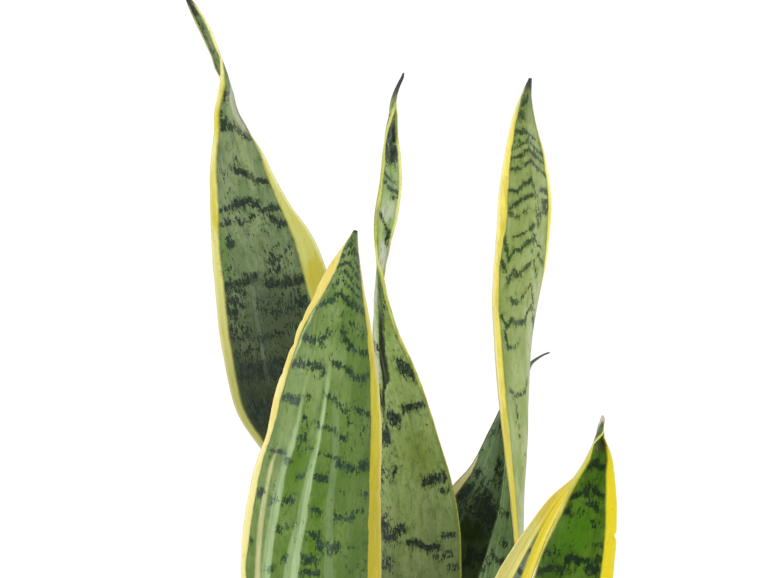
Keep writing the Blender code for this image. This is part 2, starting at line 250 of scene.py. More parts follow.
class Leaf:
    """A leaf's middle line and sections, from its stations in millimetres and degrees."""

    def __init__(self, stations):
        rows = np.array(stations, float)
        rows[:, :4] *= MM
        rows[:, 4:] = np.radians(rows[:, 4:])
        spans = np.linalg.norm(np.diff(rows[:, :3], axis=0), axis=1)
        self.knots = np.concatenate([[0.0], np.cumsum(spans)])
        self.length = self.knots[-1]
        self.rows = rows
        self.slopes = np.hstack([
            smooth_slopes(self.knots, rows[:, :3]), level_slopes(self.knots, rows[:, 3:]),
        ])

    def values(self, distances):
        last = len(self.knots) - 2
        span = np.clip(np.searchsorted(self.knots, distances) - 1, 0, last)
        step = (self.knots[span + 1] - self.knots[span])[:, None]
        part = (distances - self.knots[span])[:, None] / step
        rest = 1.0 - part
        return (
            (1 + 2 * part) * rest * rest * self.rows[span]
            + part * rest * rest * step * self.slopes[span]
            + part * part * (3 - 2 * part) * self.rows[span + 1]
            - part * part * rest * step * self.slopes[span + 1]
        )

    def frames(self, distances):
        """Centres, cross axes, inward axes, half widths and half rolls."""
        reach = 0.5 * MM
        place = self.values(distances)
        ahead = self.values(np.minimum(distances + reach, self.length))[:, :3]
        behind = self.values(np.maximum(distances - reach, 0.0))[:, :3]
        along = ahead - behind
        along /= np.linalg.norm(along, axis=1)[:, None]
        level = np.array([1.0, 0.0, 0.0]) - along * along[:, :1]
        level /= np.linalg.norm(level, axis=1)[:, None]
        depth = np.cross(along, level)
        turn = place[:, 4:5]
        across = np.cos(turn) * level + np.sin(turn) * depth
        inward = np.cross(across, along)
        roll = np.where(np.abs(place[:, 5]) < FLAT_ROLL, FLAT_ROLL, place[:, 5])
        return place[:, :3], across, inward, place[:, 3] / 2, roll / 2

    def half_thickness(self, distances, half_widths, half_rolls):
        left = np.maximum(0.0, 1.0 - distances / self.length)
        thick = EDGE_HALF_THICKNESS
        thick = thick + (BASE_HALF_THICKNESS - EDGE_HALF_THICKNESS) * left ** TAPER_POWER
        round_limit = 0.4 * half_widths / np.abs(half_rolls)
        thick = np.minimum(thick, np.minimum(0.44 * half_widths, round_limit))
        return np.maximum(thick, LEAST_HALF_THICKNESS)


def along_table(heights, table):
    """Values at heights in mm, from a table of height, value, height, value and so on."""
    return np.interp(heights, table[::2], table[1::2])


def ripple(values, seed):
    """A slow irregular wave between -1 and 1."""
    return 0.6 * np.sin(values + seed) + 0.4 * np.sin(values * 2.3 + seed * 1.7)


def band_fields(across, along, half_width, bands):
    """How dark the cross bands are at each place, and the soft patches round them."""
    sharp = np.zeros_like(across)
    soft = np.zeros_like(across)
    for thick, strength, *points in bands:
        line = np.array(points, float).reshape(-1, 2)
        span = np.clip(np.searchsorted(line[:, 0], across) - 1, 0, len(line) - 2)
        step = line[span + 1] - line[span]
        slope = step[:, 1] / (step[:, 0] * half_width)
        middle = np.interp(across, line[:, 0], line[:, 1])
        away = np.abs(along - middle) / np.sqrt(1.0 + slope ** 2)
        outside = np.maximum(np.maximum(line[0, 0] - across, across - line[-1, 0]), 0.0)
        outside = outside * half_width
        for field, end, spread in (
            (sharp, BAND_END, BAND_SPREAD * thick),
            (soft, PATCH_END, PATCH_SPREAD * thick + PATCH_EXTRA),
        ):
            fade = np.clip(1.0 - outside / end, 0.0, 1.0)
            np.maximum(field, strength * fade * np.exp(-((away / spread) ** 2)), out=field)
    return sharp, soft


def spots(across, along, table):
    """Soft spots: place across, height, half width as a share, half height in mm, amount."""
    field = np.zeros_like(across)
    for place, height, wide, high, amount in table:
        away = ((across - place) / wide) ** 2 + ((along - height) / high) ** 2
        field = np.maximum(field, amount * np.exp(-away))
    return field


def spare_bands(look, seed):
    """Bands for the part of the leaf below those that are placed one by one."""
    dice = random.Random(seed)
    bands = []
    height = look["bands_from"]
    while height > LOWEST_BAND:
        middle = dice.uniform(-0.25, 0.25)
        arch = dice.uniform(1.0, 4.0)
        strength = look["spare_strength"] * min(1.0, 0.35 + height / 220.0)
        for start, end in ((-0.9, middle - 0.08), (middle + 0.05, 0.9)):
            if dice.random() < 0.85:
                thick = dice.uniform(1.2, 2.8)
                parts = [start, start * 0.6 + end * 0.4, end]
                tops = [height - arch * (abs(part) > 0.5) + dice.uniform(-2, 2) for part in parts]
                points = [value for pair in zip(parts, tops) for value in pair]
                bands.append((thick, strength * dice.uniform(0.75, 1.15), *points))
        height -= dice.uniform(9.0, 18.0)
    return bands


def new_mesh(name, bm):
    mesh = bpy.data.meshes.new(name)
    bm.to_mesh(mesh)
    bm.free()
    return mesh


def link_object(name, data):
    thing = bpy.data.objects.new(name, data)
    bpy.context.scene.collection.objects.link(thing)
    return thing


def add_piece(name, mesh, finish, replaced=None, sharp=None):
    mesh.shade_smooth()
    if sharp:
        mesh.set_sharp_from_angle(angle=math.radians(sharp))
    mesh.materials.append(finish)
    piece = link_object(name, mesh)
    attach(piece, ROOT)
    if replaced:
        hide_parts(replaced)


def tube_mesh(name, rows, sides):
    """A closed tube, with the row and the column that each of its points is in."""
    bm = bmesh.new()
    bmesh.ops.create_cone(bm, cap_ends=True, segments=sides, radius1=1, radius2=1, depth=1)
    upright = [e for e in bm.edges if abs(e.verts[0].co.z - e.verts[1].co.z) > 0.5]
    bmesh.ops.subdivide_edges(bm, edges=upright, cuts=rows - 2, use_grid_fill=True)
    mesh = new_mesh(name, bm)
    points = np.empty(len(mesh.vertices) * 3)
    mesh.vertices.foreach_get("co", points)
    points = points.reshape(-1, 3)
    angle = np.arctan2(points[:, 1], points[:, 0]) % math.tau
    column = (angle / math.tau * sides + 0.25).astype(int) % sides
    row = np.rint((points[:, 2] + 0.5) * (rows - 1)).astype(int)
    return mesh, row, column


def edge_wander(heights, hand, nicks, seed):
    """How far one edge of a leaf stands out at each height, in mm, with its small nicks."""
    wave = ripple(heights / LONG_WAVE, seed + hand) * LONG_HEIGHT
    wave = wave + ripple(heights / SHORT_WAVE, seed * 3 + hand) * SHORT_HEIGHT
    for place, side, depth, length in nicks:
        if side == hand:
            wave = wave - depth * np.exp(-(((heights - place) / length) ** 2))
    return wave


def flute_relief(share, span, wide, flutes, seed):
    """Low lengthwise flutes, placed folds and a slight wave of the edges, in mm."""
    relief = 0.10 * ripple(share * 13.0 + span / 160.0, seed) * (1 - share ** 2)
    relief = relief + 0.35 * share ** 2 * ripple(span / 23.0, seed + np.sign(share))
    for low, high, place_low, place_high, width, depth in flutes:
        part = np.clip((span - low) / (high - low), 0.0, 1.0)
        middle = place_low + (place_high - place_low) * part
        ends = np.clip((span - low) / FOLD_FADE, 0, 1)
        ends = ends * np.clip((high - span) / FOLD_FADE, 0, 1)
        away = np.abs(share - middle) * wide / MM / width
        relief = relief + depth * ends * np.exp(-(away ** 2))
    return relief


def build_leaf(node, stations, look, seed):
    leaf = Leaf(stations)
    half = leaf.length / 2
    low, high = int(half / LOW_STEP), int(half / HIGH_STEP)
    distances = np.append(np.linspace(0, half, low, endpoint=False),
                          np.linspace(half, leaf.length, high))
    heights = distances / MM
    mesh, row, column = tube_mesh(node + "_fine", len(distances), 2 * FACE_POINTS + 2)

    # Each column's share across the leaf, its face, and whether it is on the rim
    ring = FACE_POINTS + 1
    step = column % ring
    share = np.where(step < FACE_POINTS, 1 - 2 * step / (FACE_POINTS - 1), -1.0)
    share = np.where(column < ring, share, -share)
    rim = step == FACE_POINTS
    side = np.where(column < ring, -1.0, 1.0)
    share = np.sin(share * math.pi / 2) * EDGE_CROWDING + share * (1 - EDGE_CROWDING)

    centre, across, inward, half_width, half_roll = leaf.frames(distances)
    thick = leaf.half_thickness(distances, half_width, half_roll)
    edge = np.minimum(thick, EDGE_HALF_THICKNESS)

    # Uneven edges
    narrow = np.clip(half_width / (8 * MM), 0.0, 1.0)
    left, right = (
        edge_wander(heights, hand, look["nicks"], seed) * MM * narrow for hand in (-1, 1)
    )
    shift = np.where(share > 0, right[row], left[row]) * np.abs(share) ** 6

    # The rolled section
    wide, roll = half_width[row], half_roll[row]
    inset = np.minimum(RIM_INSET, 0.2 * wide)
    reach = np.where(rim, wide, wide - inset) * share + np.sign(share) * shift
    bend = roll * reach / wide
    radius = wide / roll
    local_thick = edge[row] + (thick[row] - edge[row]) * (1 - np.abs(share) ** TAPER_POWER)
    local_thick = np.where(rim, 0.0, local_thick)
    sine, cosine = np.sin(bend)[:, None], np.cos(bend)[:, None]
    normal = cosine * inward[row] - sine * across[row]
    places = centre[row] + radius[:, None] * (sine * across[row] + (1 - cosine) * inward[row])

    # Relief, less near the foot and where the leaf is narrow
    span = heights[row]
    calm = np.clip(span / CALM_HEIGHT, 0, 1) * np.clip(wide / (CALM_WIDTH * MM), 0, 1)
    relief = flute_relief(share, span, wide, look["flutes"], seed)
    lift = side * local_thick + relief * calm * MM
    places = places + normal * lift[:, None]
    mesh.vertices.foreach_set("co", places.astype(np.float32).ravel())

    tip = 1 - (leaf.length - distances[row]) / (look["tip_mm"] * MM)
    mark_leaf(mesh, look, seed, heights, row, share, wide, side, np.clip(tip, 0, 1))
    mesh.update()
    add_piece(node + "_fine", mesh, leaf_finish(node, look, seed), node)


def mark_leaf(mesh, look, seed, heights, row, share, wide, side, tip):
    """Gives a leaf's points what its finish reads, with lengths in mm."""

    def read(key):
        return along_table(heights, look[key])[row]

    span = heights[row]
    from_left = (1 + share) * wide / MM
    from_right = (1 - share) * wide / MM
    bands = [*look["bands"], *spare_bands(look, seed)]
    sharp, soft = band_fields(share, span, wide / MM, bands)
    base = np.clip(1 - (span - FOOT_HEIGHT) / FOOT_FADE, 0.0, 1.0)
    # Painted shade: how far the blade darkens, by height and toward one side, mostly where folds
    # and the leaves in front shade it
    shade = read("shade")
    for hand, key in ((1, "shade_right"), (-1, "shade_left")):
        shade = shade + read(key) * np.clip(share * hand, 0.0, 1.0)
    brown, vivid, dull_and_sheen = (spots(share, span, look[key]) for key in ("brown", "vivid", "dull_and_sheen"))
    deepness = np.where(share < 0, read("left_deep"), read("right_deep"))
    # Painted highlight and crease shade streaks: how far each point is from the streak's middle,
    # and its half width, in mm
    for index, (_, strength, *points) in enumerate(look["painted_light_streaks"]):
        line = np.array(points, float).reshape(-1, 3)
        middle, half_width = (np.interp(span, line[:, 0], line[:, k]) for k in (1, 2))
        ends = np.clip((span - line[0, 0]) / 10, 0, 1) * np.clip((line[-1, 0] - span) / 14, 0, 1)
        away = (share - middle) * wide / MM
        add_attribute(mesh, f"streak_{index}", away, half_width, strength * ends)
    add_attribute(mesh, "blade", share * wide / MM, span, side)
    add_attribute(mesh, "trim", from_left - read("left_margin"),
                  from_right - read("right_margin"), np.minimum(from_left, from_right))
    add_attribute(mesh, "marks", sharp, soft, deepness)
    add_attribute(mesh, "wash", vivid, dull_and_sheen, brown)
    add_attribute(mesh, "tone", shade, read("speckle"), share)
    add_attribute(mesh, "ends", tip, base)


def add_attribute(mesh, name, *fields):
    """Up to three fields as the parts of one vector for each point."""
    values = np.zeros((len(mesh.vertices), 3), np.float32)
    for part, field in enumerate(fields):
        values[:, part] = field
    mesh.attributes.new(name, "FLOAT_VECTOR", "POINT").data.foreach_set("vector", values.ravel())


# Leaf finish

def leaf_finish(node, look, seed):
    """Waxy green blade with jagged dark bands, yellow margins and a dry tip."""
    f = Finish(node + " blade")
    across, along, face = f.attribute("blade")
    left_in, right_in, edge = f.attribute("trim")
    bands, halo, deepness = f.attribute("marks")
    vivid, dull_and_sheen, brown = f.attribute("wash")
    shade, speckle, share = f.attribute("tone")
    tip, base, _ = f.attribute("ends")
    layer = face * 3.0 + seed * 7.3

    def grain_of(across_scale, along_scale, offset, detail=3.0, roughness=0.6):
        stretched = f.vector(across * across_scale, along * along_scale, layer + offset)
        return f.noise(stretched, 1.0, detail, roughness)

    def paint(key):
        return linear(*look[key])

    # Green ground: slow patches and fine lengthwise grain
    patches = grain_of(0.13, 0.045, 0.0, 3.0, 0.55)
    grain = grain_of(1.3, 0.035, 1.0)
    mottle = grain_of(0.55, 0.30, 2.0)
    ground = f.mix(f.ramp(patches, 0.36, 0.64), paint("green"), paint("light"))
    ground = f.mix(f.ramp(mottle, 0.48, 0.72) * 0.55, ground, paint("mid"))
    ground = f.mix(f.ramp(grain, 0.45, 0.75) * 0.35, ground, paint("light"))
    drift = (patches - 0.5) * 0.9 + (mottle - 0.5) * 0.5
    ground = f.mix(f.ramp(vivid + drift, 0.15, 0.75), ground, paint("vivid_tint"))
    # Dull spots: greyer patches on some leaves, painted sheen and paler lit facets on others
    ground = f.mix(f.ramp(dull_and_sheen + drift, 0.15, 0.75) * 0.9, ground, paint("dull_and_sheen_tint"))
    # Painted shade: the blade darkened toward its shade colour by the shade tables
    ground = f.mix(shade, ground, paint("shade_tint"))

    # Dark bands with teeth that run lengthwise, soft patches round them, loose flecks
    teeth = grain_of(1.0, 0.32, 11.0, 2.0, 0.6)
    crumbs = grain_of(1.6, 0.85, 23.0, 2.0, 0.6)
    clouds = grain_of(0.30, 0.25, 37.0)
    rough = ((teeth - 0.5) * 1.9 + (crumbs - 0.5) * 1.3) * look["ragged"]
    tufts = grain_of(0.45, 0.13, 53.0, 3.0, 0.6) + (clouds - 0.5) * 0.4
    ground = f.mix(f.ramp(tufts, 0.46, 0.70) * look["tufts"], ground, paint("mid_dark"))
    soft = f.ramp(halo * 0.50 + (clouds - 0.5) * 1.2 + rough * 0.5 + speckle, 0.22, 0.55)
    ground = f.mix(soft * look["soft"], ground, paint("mid_dark"))
    dots = f.ramp(rough * 0.6 + (clouds - 0.5) * 0.7 + speckle, 0.22, 0.36)
    ground = f.mix(dots * look["stipple"], ground, paint("mid_dark"))
    level = bands * 0.70 + (clouds - 0.5) * (1.1 * look["ragged"]) + rough + speckle
    core = f.ramp(level, 0.42, 0.62)
    smoke = f.ramp(grain_of(0.55, 0.35, 43.0), 0.44, 0.66)
    ink = f.mix(smoke, paint("dark"), paint("smoke"))
    ground = f.mix(core * look["ink"], ground, ink)

    # Painted highlights along the flutes and painted shade in the creases, with the bands still
    # showing through
    wander = grain_of(0.25, 0.09, 51.0, 2.0, 0.5)
    veil = f.ramp(grain_of(0.8, 0.05, 57.0, 2.0, 0.5), 0.30, 0.60, 0.65, 1.0)
    for index, painted_light_streak in enumerate(look["painted_light_streaks"]):
        away, half_width, strength = f.attribute(f"streak_{index}")
        inside = half_width - abs(away) + (wander - 0.5) * 1.8 + rough * look["fray"]
        inside = f.ramp(inside, -0.5, 0.6)
        inside = inside * strength * veil * (1.0 - core * 0.6)
        ground = f.mix(inside, ground, linear(*painted_light_streak[0]))

    # Yellow margins with a soft inner border, ochre freckles, painted highlights in paler mottles
    # and along the outer edge, painted shade, and a corky rim
    border = grain_of(0.25, 0.11, 63.0)
    inside = left_in.least(right_in) + (border - 0.5) * 1.5
    green_part = f.ramp(inside, -look["border"], look["border"])
    tone = grain_of(0.35, 0.055, 71.0)
    right_side = f.ramp(share, -0.1, 0.1)
    first = f.mix(right_side, paint("left_tint"), paint("right_tint"))
    second = f.mix(right_side, paint("left_gold"), paint("right_gold"))
    yellow = f.mix(f.ramp(tone + deepness * 0.3, 0.36, 0.68), first, second)
    # Painted highlight: paler mottles on the margins
    yellow = f.mix(f.ramp(grain, 0.50, 0.80) * 0.2, yellow, paint("margin_highlight"))
    outer = (1.0 - f.ramp(edge, 0.3, 1.8)) * f.ramp(deepness, -0.2, 1.0, 1.0, 0.1)
    # Painted highlight along the margin's outer edge, weaker where the margin's colour is deeper
    yellow = f.mix(outer * look["edge_highlight"], yellow, paint("margin_highlight"))
    blush = grain_of(0.5, 0.20, 83.0, 3.0, 0.7)
    yellow = f.mix(f.ramp(blush, 0.60, 0.72) * 0.5, yellow, paint("fleck_and_shade_tint"))
    freckles = f.ramp(inside + (crumbs - 0.5) * 1.6, -1.2, 0.3)
    yellow = f.mix(freckles * 0.45, yellow, paint("fleck_and_shade_tint"))
    # Painted shade on the margins: they darken toward the fleck colour by half the shade amount
    yellow = f.mix(shade * 0.5, yellow, paint("fleck_and_shade_tint"))
    seam = 1.0 - f.ramp(abs(inside - 0.55), 0.0, 0.75)
    ground = f.mix(seam * look["line"], ground, paint("line_tint"))
    colour = f.mix(green_part, yellow, ground)
    cork = f.noise(f.vector(along * 0.35, layer, across * 0.2), 1.0, 3.0, 0.7)
    corky = (1.0 - f.ramp(edge, 0.12, 0.55)) * f.ramp(cork, 0.42, 0.62)
    colour = f.mix(corky * look["cork"], colour, paint("rim"))

    # Paler foot, brown spots, dry tip
    colour = f.mix(f.ramp(base, 0.05, 1.0) * 0.75, colour, linear(150, 160, 100))
    stain = f.ramp(brown + (mottle - 0.5) * 0.8, 0.25, 0.7)
    colour = f.mix(stain * 0.9, colour, paint("stain"))
    dry = grain_of(1.2, 0.5, 97.0)
    dried = f.ramp(tip + (dry - 0.5) * 0.5, 0.25, 0.75)
    colour = f.mix(dried, colour, paint("tip"))
    f.set("Base Color", colour)

    f.set("Roughness", 0.40 + (mottle - 0.5) * 0.22 + corky * 0.25 + dried * 0.25)
    f.set("Specular IOR Level", look["gloss"])
    f.set("Coat Weight", 0.04)
    f.set("Coat Roughness", 0.24)
    pores = grain_of(5.0, 3.0, 0.0, 2.0)
    ribs = grain_of(1.9, 0.018, 5.0, 2.0, 0.5)
    f.bump(ribs * 0.8 + grain * 0.3 + pores * 0.16 + corky * 0.3, 0.00018)
    return f.material


# Turned profiles

def rounded_profile(corners, steps=6):
    points = []
    for index, (radius, height, size) in enumerate(corners):
        here = Vector((radius, height))
        if size == 0.0:
            points.append(here)
            continue
        start = here + (Vector(corners[index - 1][:2]) - here).normalized() * size
        end = here + (Vector(corners[index + 1][:2]) - here).normalized() * size
        for step in range(steps + 1):
            part = step / steps
            points.append(start.lerp(here, part).lerp(here.lerp(end, part), part))
    return points


def inner_radius(height):
    low = POT_BASE_RADIUS - POT_WALL
    high = POT_BODY_RADIUS - 0.2 * POT_WALL
    return low + (high - low) * (height - POT_FLOOR) / (POT_HEIGHT - POT_FLOOR)


def turn_profile(points, steps):
    """A full turn of an outline about the pot's axis, closed at the axis."""
    bm = bmesh.new()
    verts = [bm.verts.new((p.x, 0.0, p.y)) for p in points]
    edges = [bm.edges.new(pair) for pair in zip(verts[:-1], verts[1:])]
    bmesh.ops.spin(
        bm, geom=verts + edges, cent=(0, 0, 0), axis=(0, 0, 1), dvec=(0, 0, 0),
        angle=math.tau, steps=steps, use_merge=True,
    )
    bmesh.ops.remove_doubles(bm, verts=bm.verts, dist=WELD)
    bmesh.ops.recalc_face_normals(bm, faces=bm.faces)
    return bm


def build_pot():
    rim_foot = POT_HEIGHT - RIM_HEIGHT
    corners = [
        (FLOOR_RING, POT_FLOOR, 0.0),
        (inner_radius(POT_FLOOR), POT_FLOOR, 0.006),
        (inner_radius(POT_HEIGHT), POT_HEIGHT, 0.0022),
        (RIM_RADIUS, POT_HEIGHT, 0.0030),
        (RIM_RADIUS - RIM_STEP, rim_foot, 0.0018),
        (POT_BODY_RADIUS, rim_foot - RIM_STEP, 0.0012),
        (POT_BASE_RADIUS, 0.0, 0.0025),
        (FLOOR_RING, 0.0, 0.0),
    ]
    bm = turn_profile(rounded_profile(corners), POT_STEPS)

    # Middle of the floor, with the drain holes left out
    for index in range(DRAIN_COUNT):
        angle = math.tau * (index + 0.25) / DRAIN_COUNT
        x, y = DRAIN_CIRCLE * math.cos(angle), DRAIN_CIRCLE * math.sin(angle)
        spot = Matrix.Translation((x, y, POT_FLOOR / 2))
        bmesh.ops.create_cone(
            bm, cap_ends=False, segments=48, radius1=DRAIN_RADIUS, radius2=DRAIN_RADIUS,
            depth=POT_FLOOR, matrix=spot,
        )
    for height in (0.0, POT_FLOOR):
        rims = [
            edge for edge in bm.edges if edge.is_boundary
            and all(abs(vert.co.z - height) < WELD for vert in edge.verts)
        ]
        bmesh.ops.triangle_fill(bm, use_beauty=True, edges=rims, normal=(0, 0, 1))
    bmesh.ops.recalc_face_normals(bm, faces=bm.faces)
    add_piece("pot_fine", new_mesh("pot_fine", bm), terracotta_finish(), "pot", 40.0)


def terracotta_finish():
    """Unglazed clay: warm and cool patches, turning lines, lime bloom and grit."""
    f = Finish("terracotta")
    mm = f.stretch()
    patches = f.noise(mm, 0.022, 4.0, 0.6)
    grit = f.noise(mm, 1.6, 3.0, 0.7)
    specks = f.cells(mm, 0.55)
    rings = f.noise(f.stretch(6.0, 6.0, 900.0), 1.0, 3.0, 0.6)
    clay = f.mix(f.ramp(patches, 0.35, 0.65), linear(186, 104, 70), linear(203, 124, 88))
    clay = f.mix(f.ramp(rings, 0.45, 0.75) * 0.35, clay, linear(168, 90, 60))
    clay = f.mix(f.ramp(grit, 0.52, 0.72) * 0.35, clay, linear(219, 150, 116))
    clay = f.mix((1.0 - f.ramp(specks, 0.06, 0.16)) * 0.5, clay, linear(120, 66, 46))
    bloom = f.noise(mm, 0.05, 5.0, 0.68)
    height = f.place()[2]
    low = 1.0 - f.ramp(height, 0.004, 0.050)
    lip = f.ramp(height, 0.112, 0.134)
    lime = f.ramp(bloom + low * 0.10 + lip * 0.06, 0.56, 0.76)
    clay = f.mix(lime * 0.55, clay, linear(226, 204, 188))
    f.set("Base Color", clay)
    f.set("Roughness", 0.80 + (grit - 0.5) * 0.2)
    f.set("Specular IOR Level", 0.3)
    f.bump(grit * 0.5 + rings * 0.9 + f.ramp(specks, 0.0, 0.2) * 0.4, 0.00022)
    return f.material


# Potting mix

def soil_height(x, y):
    edge = inner_radius(SOIL_LEVEL) - SOIL_GAP
    calm = 1.0 - min(1.0, math.hypot(x, y) / edge) ** 4
    mound = sum(
        math.exp(-((x - cx) ** 2 + (y - cy) ** 2) / MOUND_SPREAD ** 2) for cx, cy in SHOOTS
    )
    lumps = math.sin(170 * x + 60 * y) + math.sin(210 * y - 90 * x + 1.3)
    lumps += math.sin(330 * x + 2.1) * math.cos(290 * y)
    return SOIL_LEVEL + calm * (MOUND_HEIGHT * min(mound, 1.0) + LUMP_HEIGHT * lumps)


def soil_relief(x, y):
    """Clods and crumbs on top of the mound."""
    here = Vector((x, y, 0.0))
    clods = noise.noise(here * 160.0) * 0.9 + noise.noise(here * 420.0) * 0.5
    crumbs = noise.noise(here * 1100.0) * 0.22
    return (clods + crumbs) * MM


def build_soil():
    radius = inner_radius(SOIL_LEVEL) - SOIL_GAP
    low = POT_FLOOR + SOIL_GAP
    corner = low + SOIL_CORNER
    points = [Vector((0.0, low)), Vector((inner_radius(low) - SOIL_CORNER, low))]
    points.append(Vector((inner_radius(corner) - SOIL_GAP, corner)))
    points += [
        Vector((radius * ring / SOIL_RINGS, SOIL_LEVEL)) for ring in range(SOIL_RINGS, -1, -1)
    ]
    bm = turn_profile(points, SOIL_STEPS)
    for vert in bm.verts:
        if vert.co.z > SOIL_LEVEL - 0.0001:
            x, y = vert.co.x, vert.co.y
            fade = min(1.0, (radius - math.hypot(x, y)) / SOIL_EDGE)
            vert.co.z = soil_height(x, y) + soil_relief(x, y) * max(fade, 0.0)
    add_piece("soil_fine", new_mesh("soil_fine", bm), mix_finish(), "soil")


def mix_finish():
    f = Finish("potting mix")
    mm = f.stretch()
    clods = f.noise(mm, 0.16, 4.0, 0.65)
    fibres = f.noise(f.stretch(2600.0, 700.0, 900.0), 1.0, 3.0, 0.7)
    grains = f.cells(mm, 0.9)
    tone = f.mix(f.ramp(clods, 0.35, 0.68), linear(36, 26, 20), linear(74, 54, 40))
    tone = f.mix(f.ramp(fibres, 0.55, 0.75) * 0.6, tone, linear(112, 84, 60))
    tone = f.mix(f.ramp(grains, 0.25, 0.55) * 0.5, tone, linear(24, 18, 15))
    f.set("Base Color", tone)
    f.set("Roughness", 0.86 + (clods - 0.5) * 0.2)
    f.set("Specular IOR Level", 0.35)
    f.bump(clods * 1.4 + fibres * 0.7 - grains * 0.9, 0.0011)
    return f.material


def scatter(name, count, seed, size, flat, finish, keep_clear, rounds=2):
    """Loose bits pressed into the mix: squashed, turned and roughened stones."""
    dice = random.Random(seed)
    reach = inner_radius(SOIL_LEVEL) - SOIL_EDGE
    bm = bmesh.new()
    placed = 0
    while placed < count:
        distance = reach * math.sqrt(dice.random())
        angle = dice.uniform(0.0, math.tau)
        x, y = distance * math.cos(angle), distance * math.sin(angle)
        radius = dice.uniform(*size)
        if any(math.hypot(x - px, y - py) < pr + radius for px, py, pr in keep_clear):
            continue
        placed += 1
        z = soil_height(x, y) + soil_relief(x, y) + radius * flat * 0.25
        shape = bmesh.ops.create_icosphere(bm, subdivisions=rounds, radius=radius)
        sizes = (1.0, dice.uniform(0.55, 0.95), flat * dice.uniform(0.7, 1.2), 1.0)
        squash = Matrix.Diagonal(sizes)
        spin = Matrix.Rotation(dice.uniform(0, math.tau), 4, "Z")
        for axis in "XY":
            spin = spin @ Matrix.Rotation(dice.uniform(-0.5, 0.5), 4, axis)
        jitter = Vector([dice.uniform(0, 50) for _ in range(3)])
        for vert in shape["verts"]:
            bump = 1.0 + 0.35 * noise.noise(vert.co / radius * 1.3 + jitter)
            vert.co = spin @ (squash @ (vert.co * bump)) + Vector((x, y, z))
    add_piece(name, new_mesh(name, bm), finish)


def bark_finish():
    f = Finish("bark chips")
    mm = f.stretch()
    tone = f.noise(mm, 0.35, 3.0, 0.6)
    grain = f.noise(f.stretch(3000.0, 600.0, 600.0), 1.0, 3.0, 0.6)
    bark = f.mix(f.ramp(tone, 0.35, 0.65), linear(62, 40, 27), linear(118, 82, 55))
    bark = f.mix(f.ramp(grain, 0.5, 0.75) * 0.5, bark, linear(152, 116, 84))
    f.set("Base Color", bark)
    f.set("Roughness", 0.78 + (grain - 0.5) * 0.2)
    f.bump(grain + tone, 0.0004)
    return f.material


def perlite_finish():
    f = Finish("perlite")
    mm = f.stretch()
    tone = f.noise(mm, 0.9, 3.0, 0.6)
    pits = f.cells(mm, 2.2)
    white = f.mix(f.ramp(tone, 0.35, 0.7), linear(214, 206, 192), linear(238, 234, 226))
    white = f.mix((1.0 - f.ramp(pits, 0.1, 0.35)) * 0.4, white, linear(168, 152, 132))
    f.set("Base Color", white)
    f.set("Roughness", 0.9)
    f.bump(pits * 0.8 + tone * 0.5, 0.0003)
    return f.material


def crumb_finish():
    f = Finish("peat crumbs")
    mm = f.stretch()
    tone = f.noise(mm, 0.5, 4.0, 0.65)
    f.set("Base Color", f.mix(f.ramp(tone, 0.35, 0.65), linear(32, 23, 18), linear(82, 60, 44)))
    f.set("Roughness", 0.88 + (tone - 0.5) * 0.1)
    f.bump(tone, 0.0006)
    return f.material


# Leaf tables. Each group of six is a station on a leaf's middle line, from the foot to
# the tip: x, y, z and the flat width in mm, then turn and roll in degrees.
STATIONS = {}
STATIONS["leaf_back_left"] = (
    (-5.25, 24, 95, 25.25, 20, 110), (-6.5, 24, 120.5, 26.25, 20, 110),
    (-12, 26, 196, 31.5, 20, 96), (-23.5, 30, 266.75, 40.75, 18, 76),
    (-41, 36, 342.5, 53, 14, 56), (-54.25, 41, 395.75, 57.25, 10, 44),
    (-65.25, 43, 421.5, 64.75, 8, 38), (-69.5, 45, 441.75, 64.5, 8, 38),
    (-78.5, 49, 484.5, 56.5, 6, 38), (-89.5, 52, 519, 37.75, 8, 40),
    (-93.25, 53, 534.75, 29, 11, 20), (-96, 55, 550.5, 19.25, 14, -24),
    (-98.25, 56, 561.75, 14, 18, -60), (-98, 57, 571, 11, 32, -100),
    (-97.5, 57, 576.25, 11, 60, -140), (-98.5, 58, 581, 12.5, 92, -164),
    (-100.5, 58, 585.5, 11, 114, -160), (-105, 59, 594, 6.25, 148, -90),
    (-110, 60, 604.75, 6.25, 168, -60), (-115.5, 61, 614.75, 5, 174, -80),
    (-120.25, 62, 623, 1.6, 178, -120),
)
STATIONS["leaf_front_left"] = (
    (-31.25, -20, 104, 29.75, 180, 110), (-33.25, -24, 129.5, 31.5, 180, 110),
    (-44, -40, 211, 49, 180, 76), (-51, -52, 280.5, 65, 180, 54), (-53, -58, 334.5, 70, 180, 44),
    (-49.75, -60, 378.25, 63.75, 180, 40), (-47, -60, 392.75, 58.75, 180, 41),
    (-45, -59, 415.5, 53.25, 180, 42), (-41.75, -57, 448.75, 39, 180, 50),
    (-37.5, -55, 475, 21.75, 180, 70), (-33.25, -53, 492.25, 7.5, 180, 110),
    (-31.25, -52, 499, 1.9, 180, 150),
)
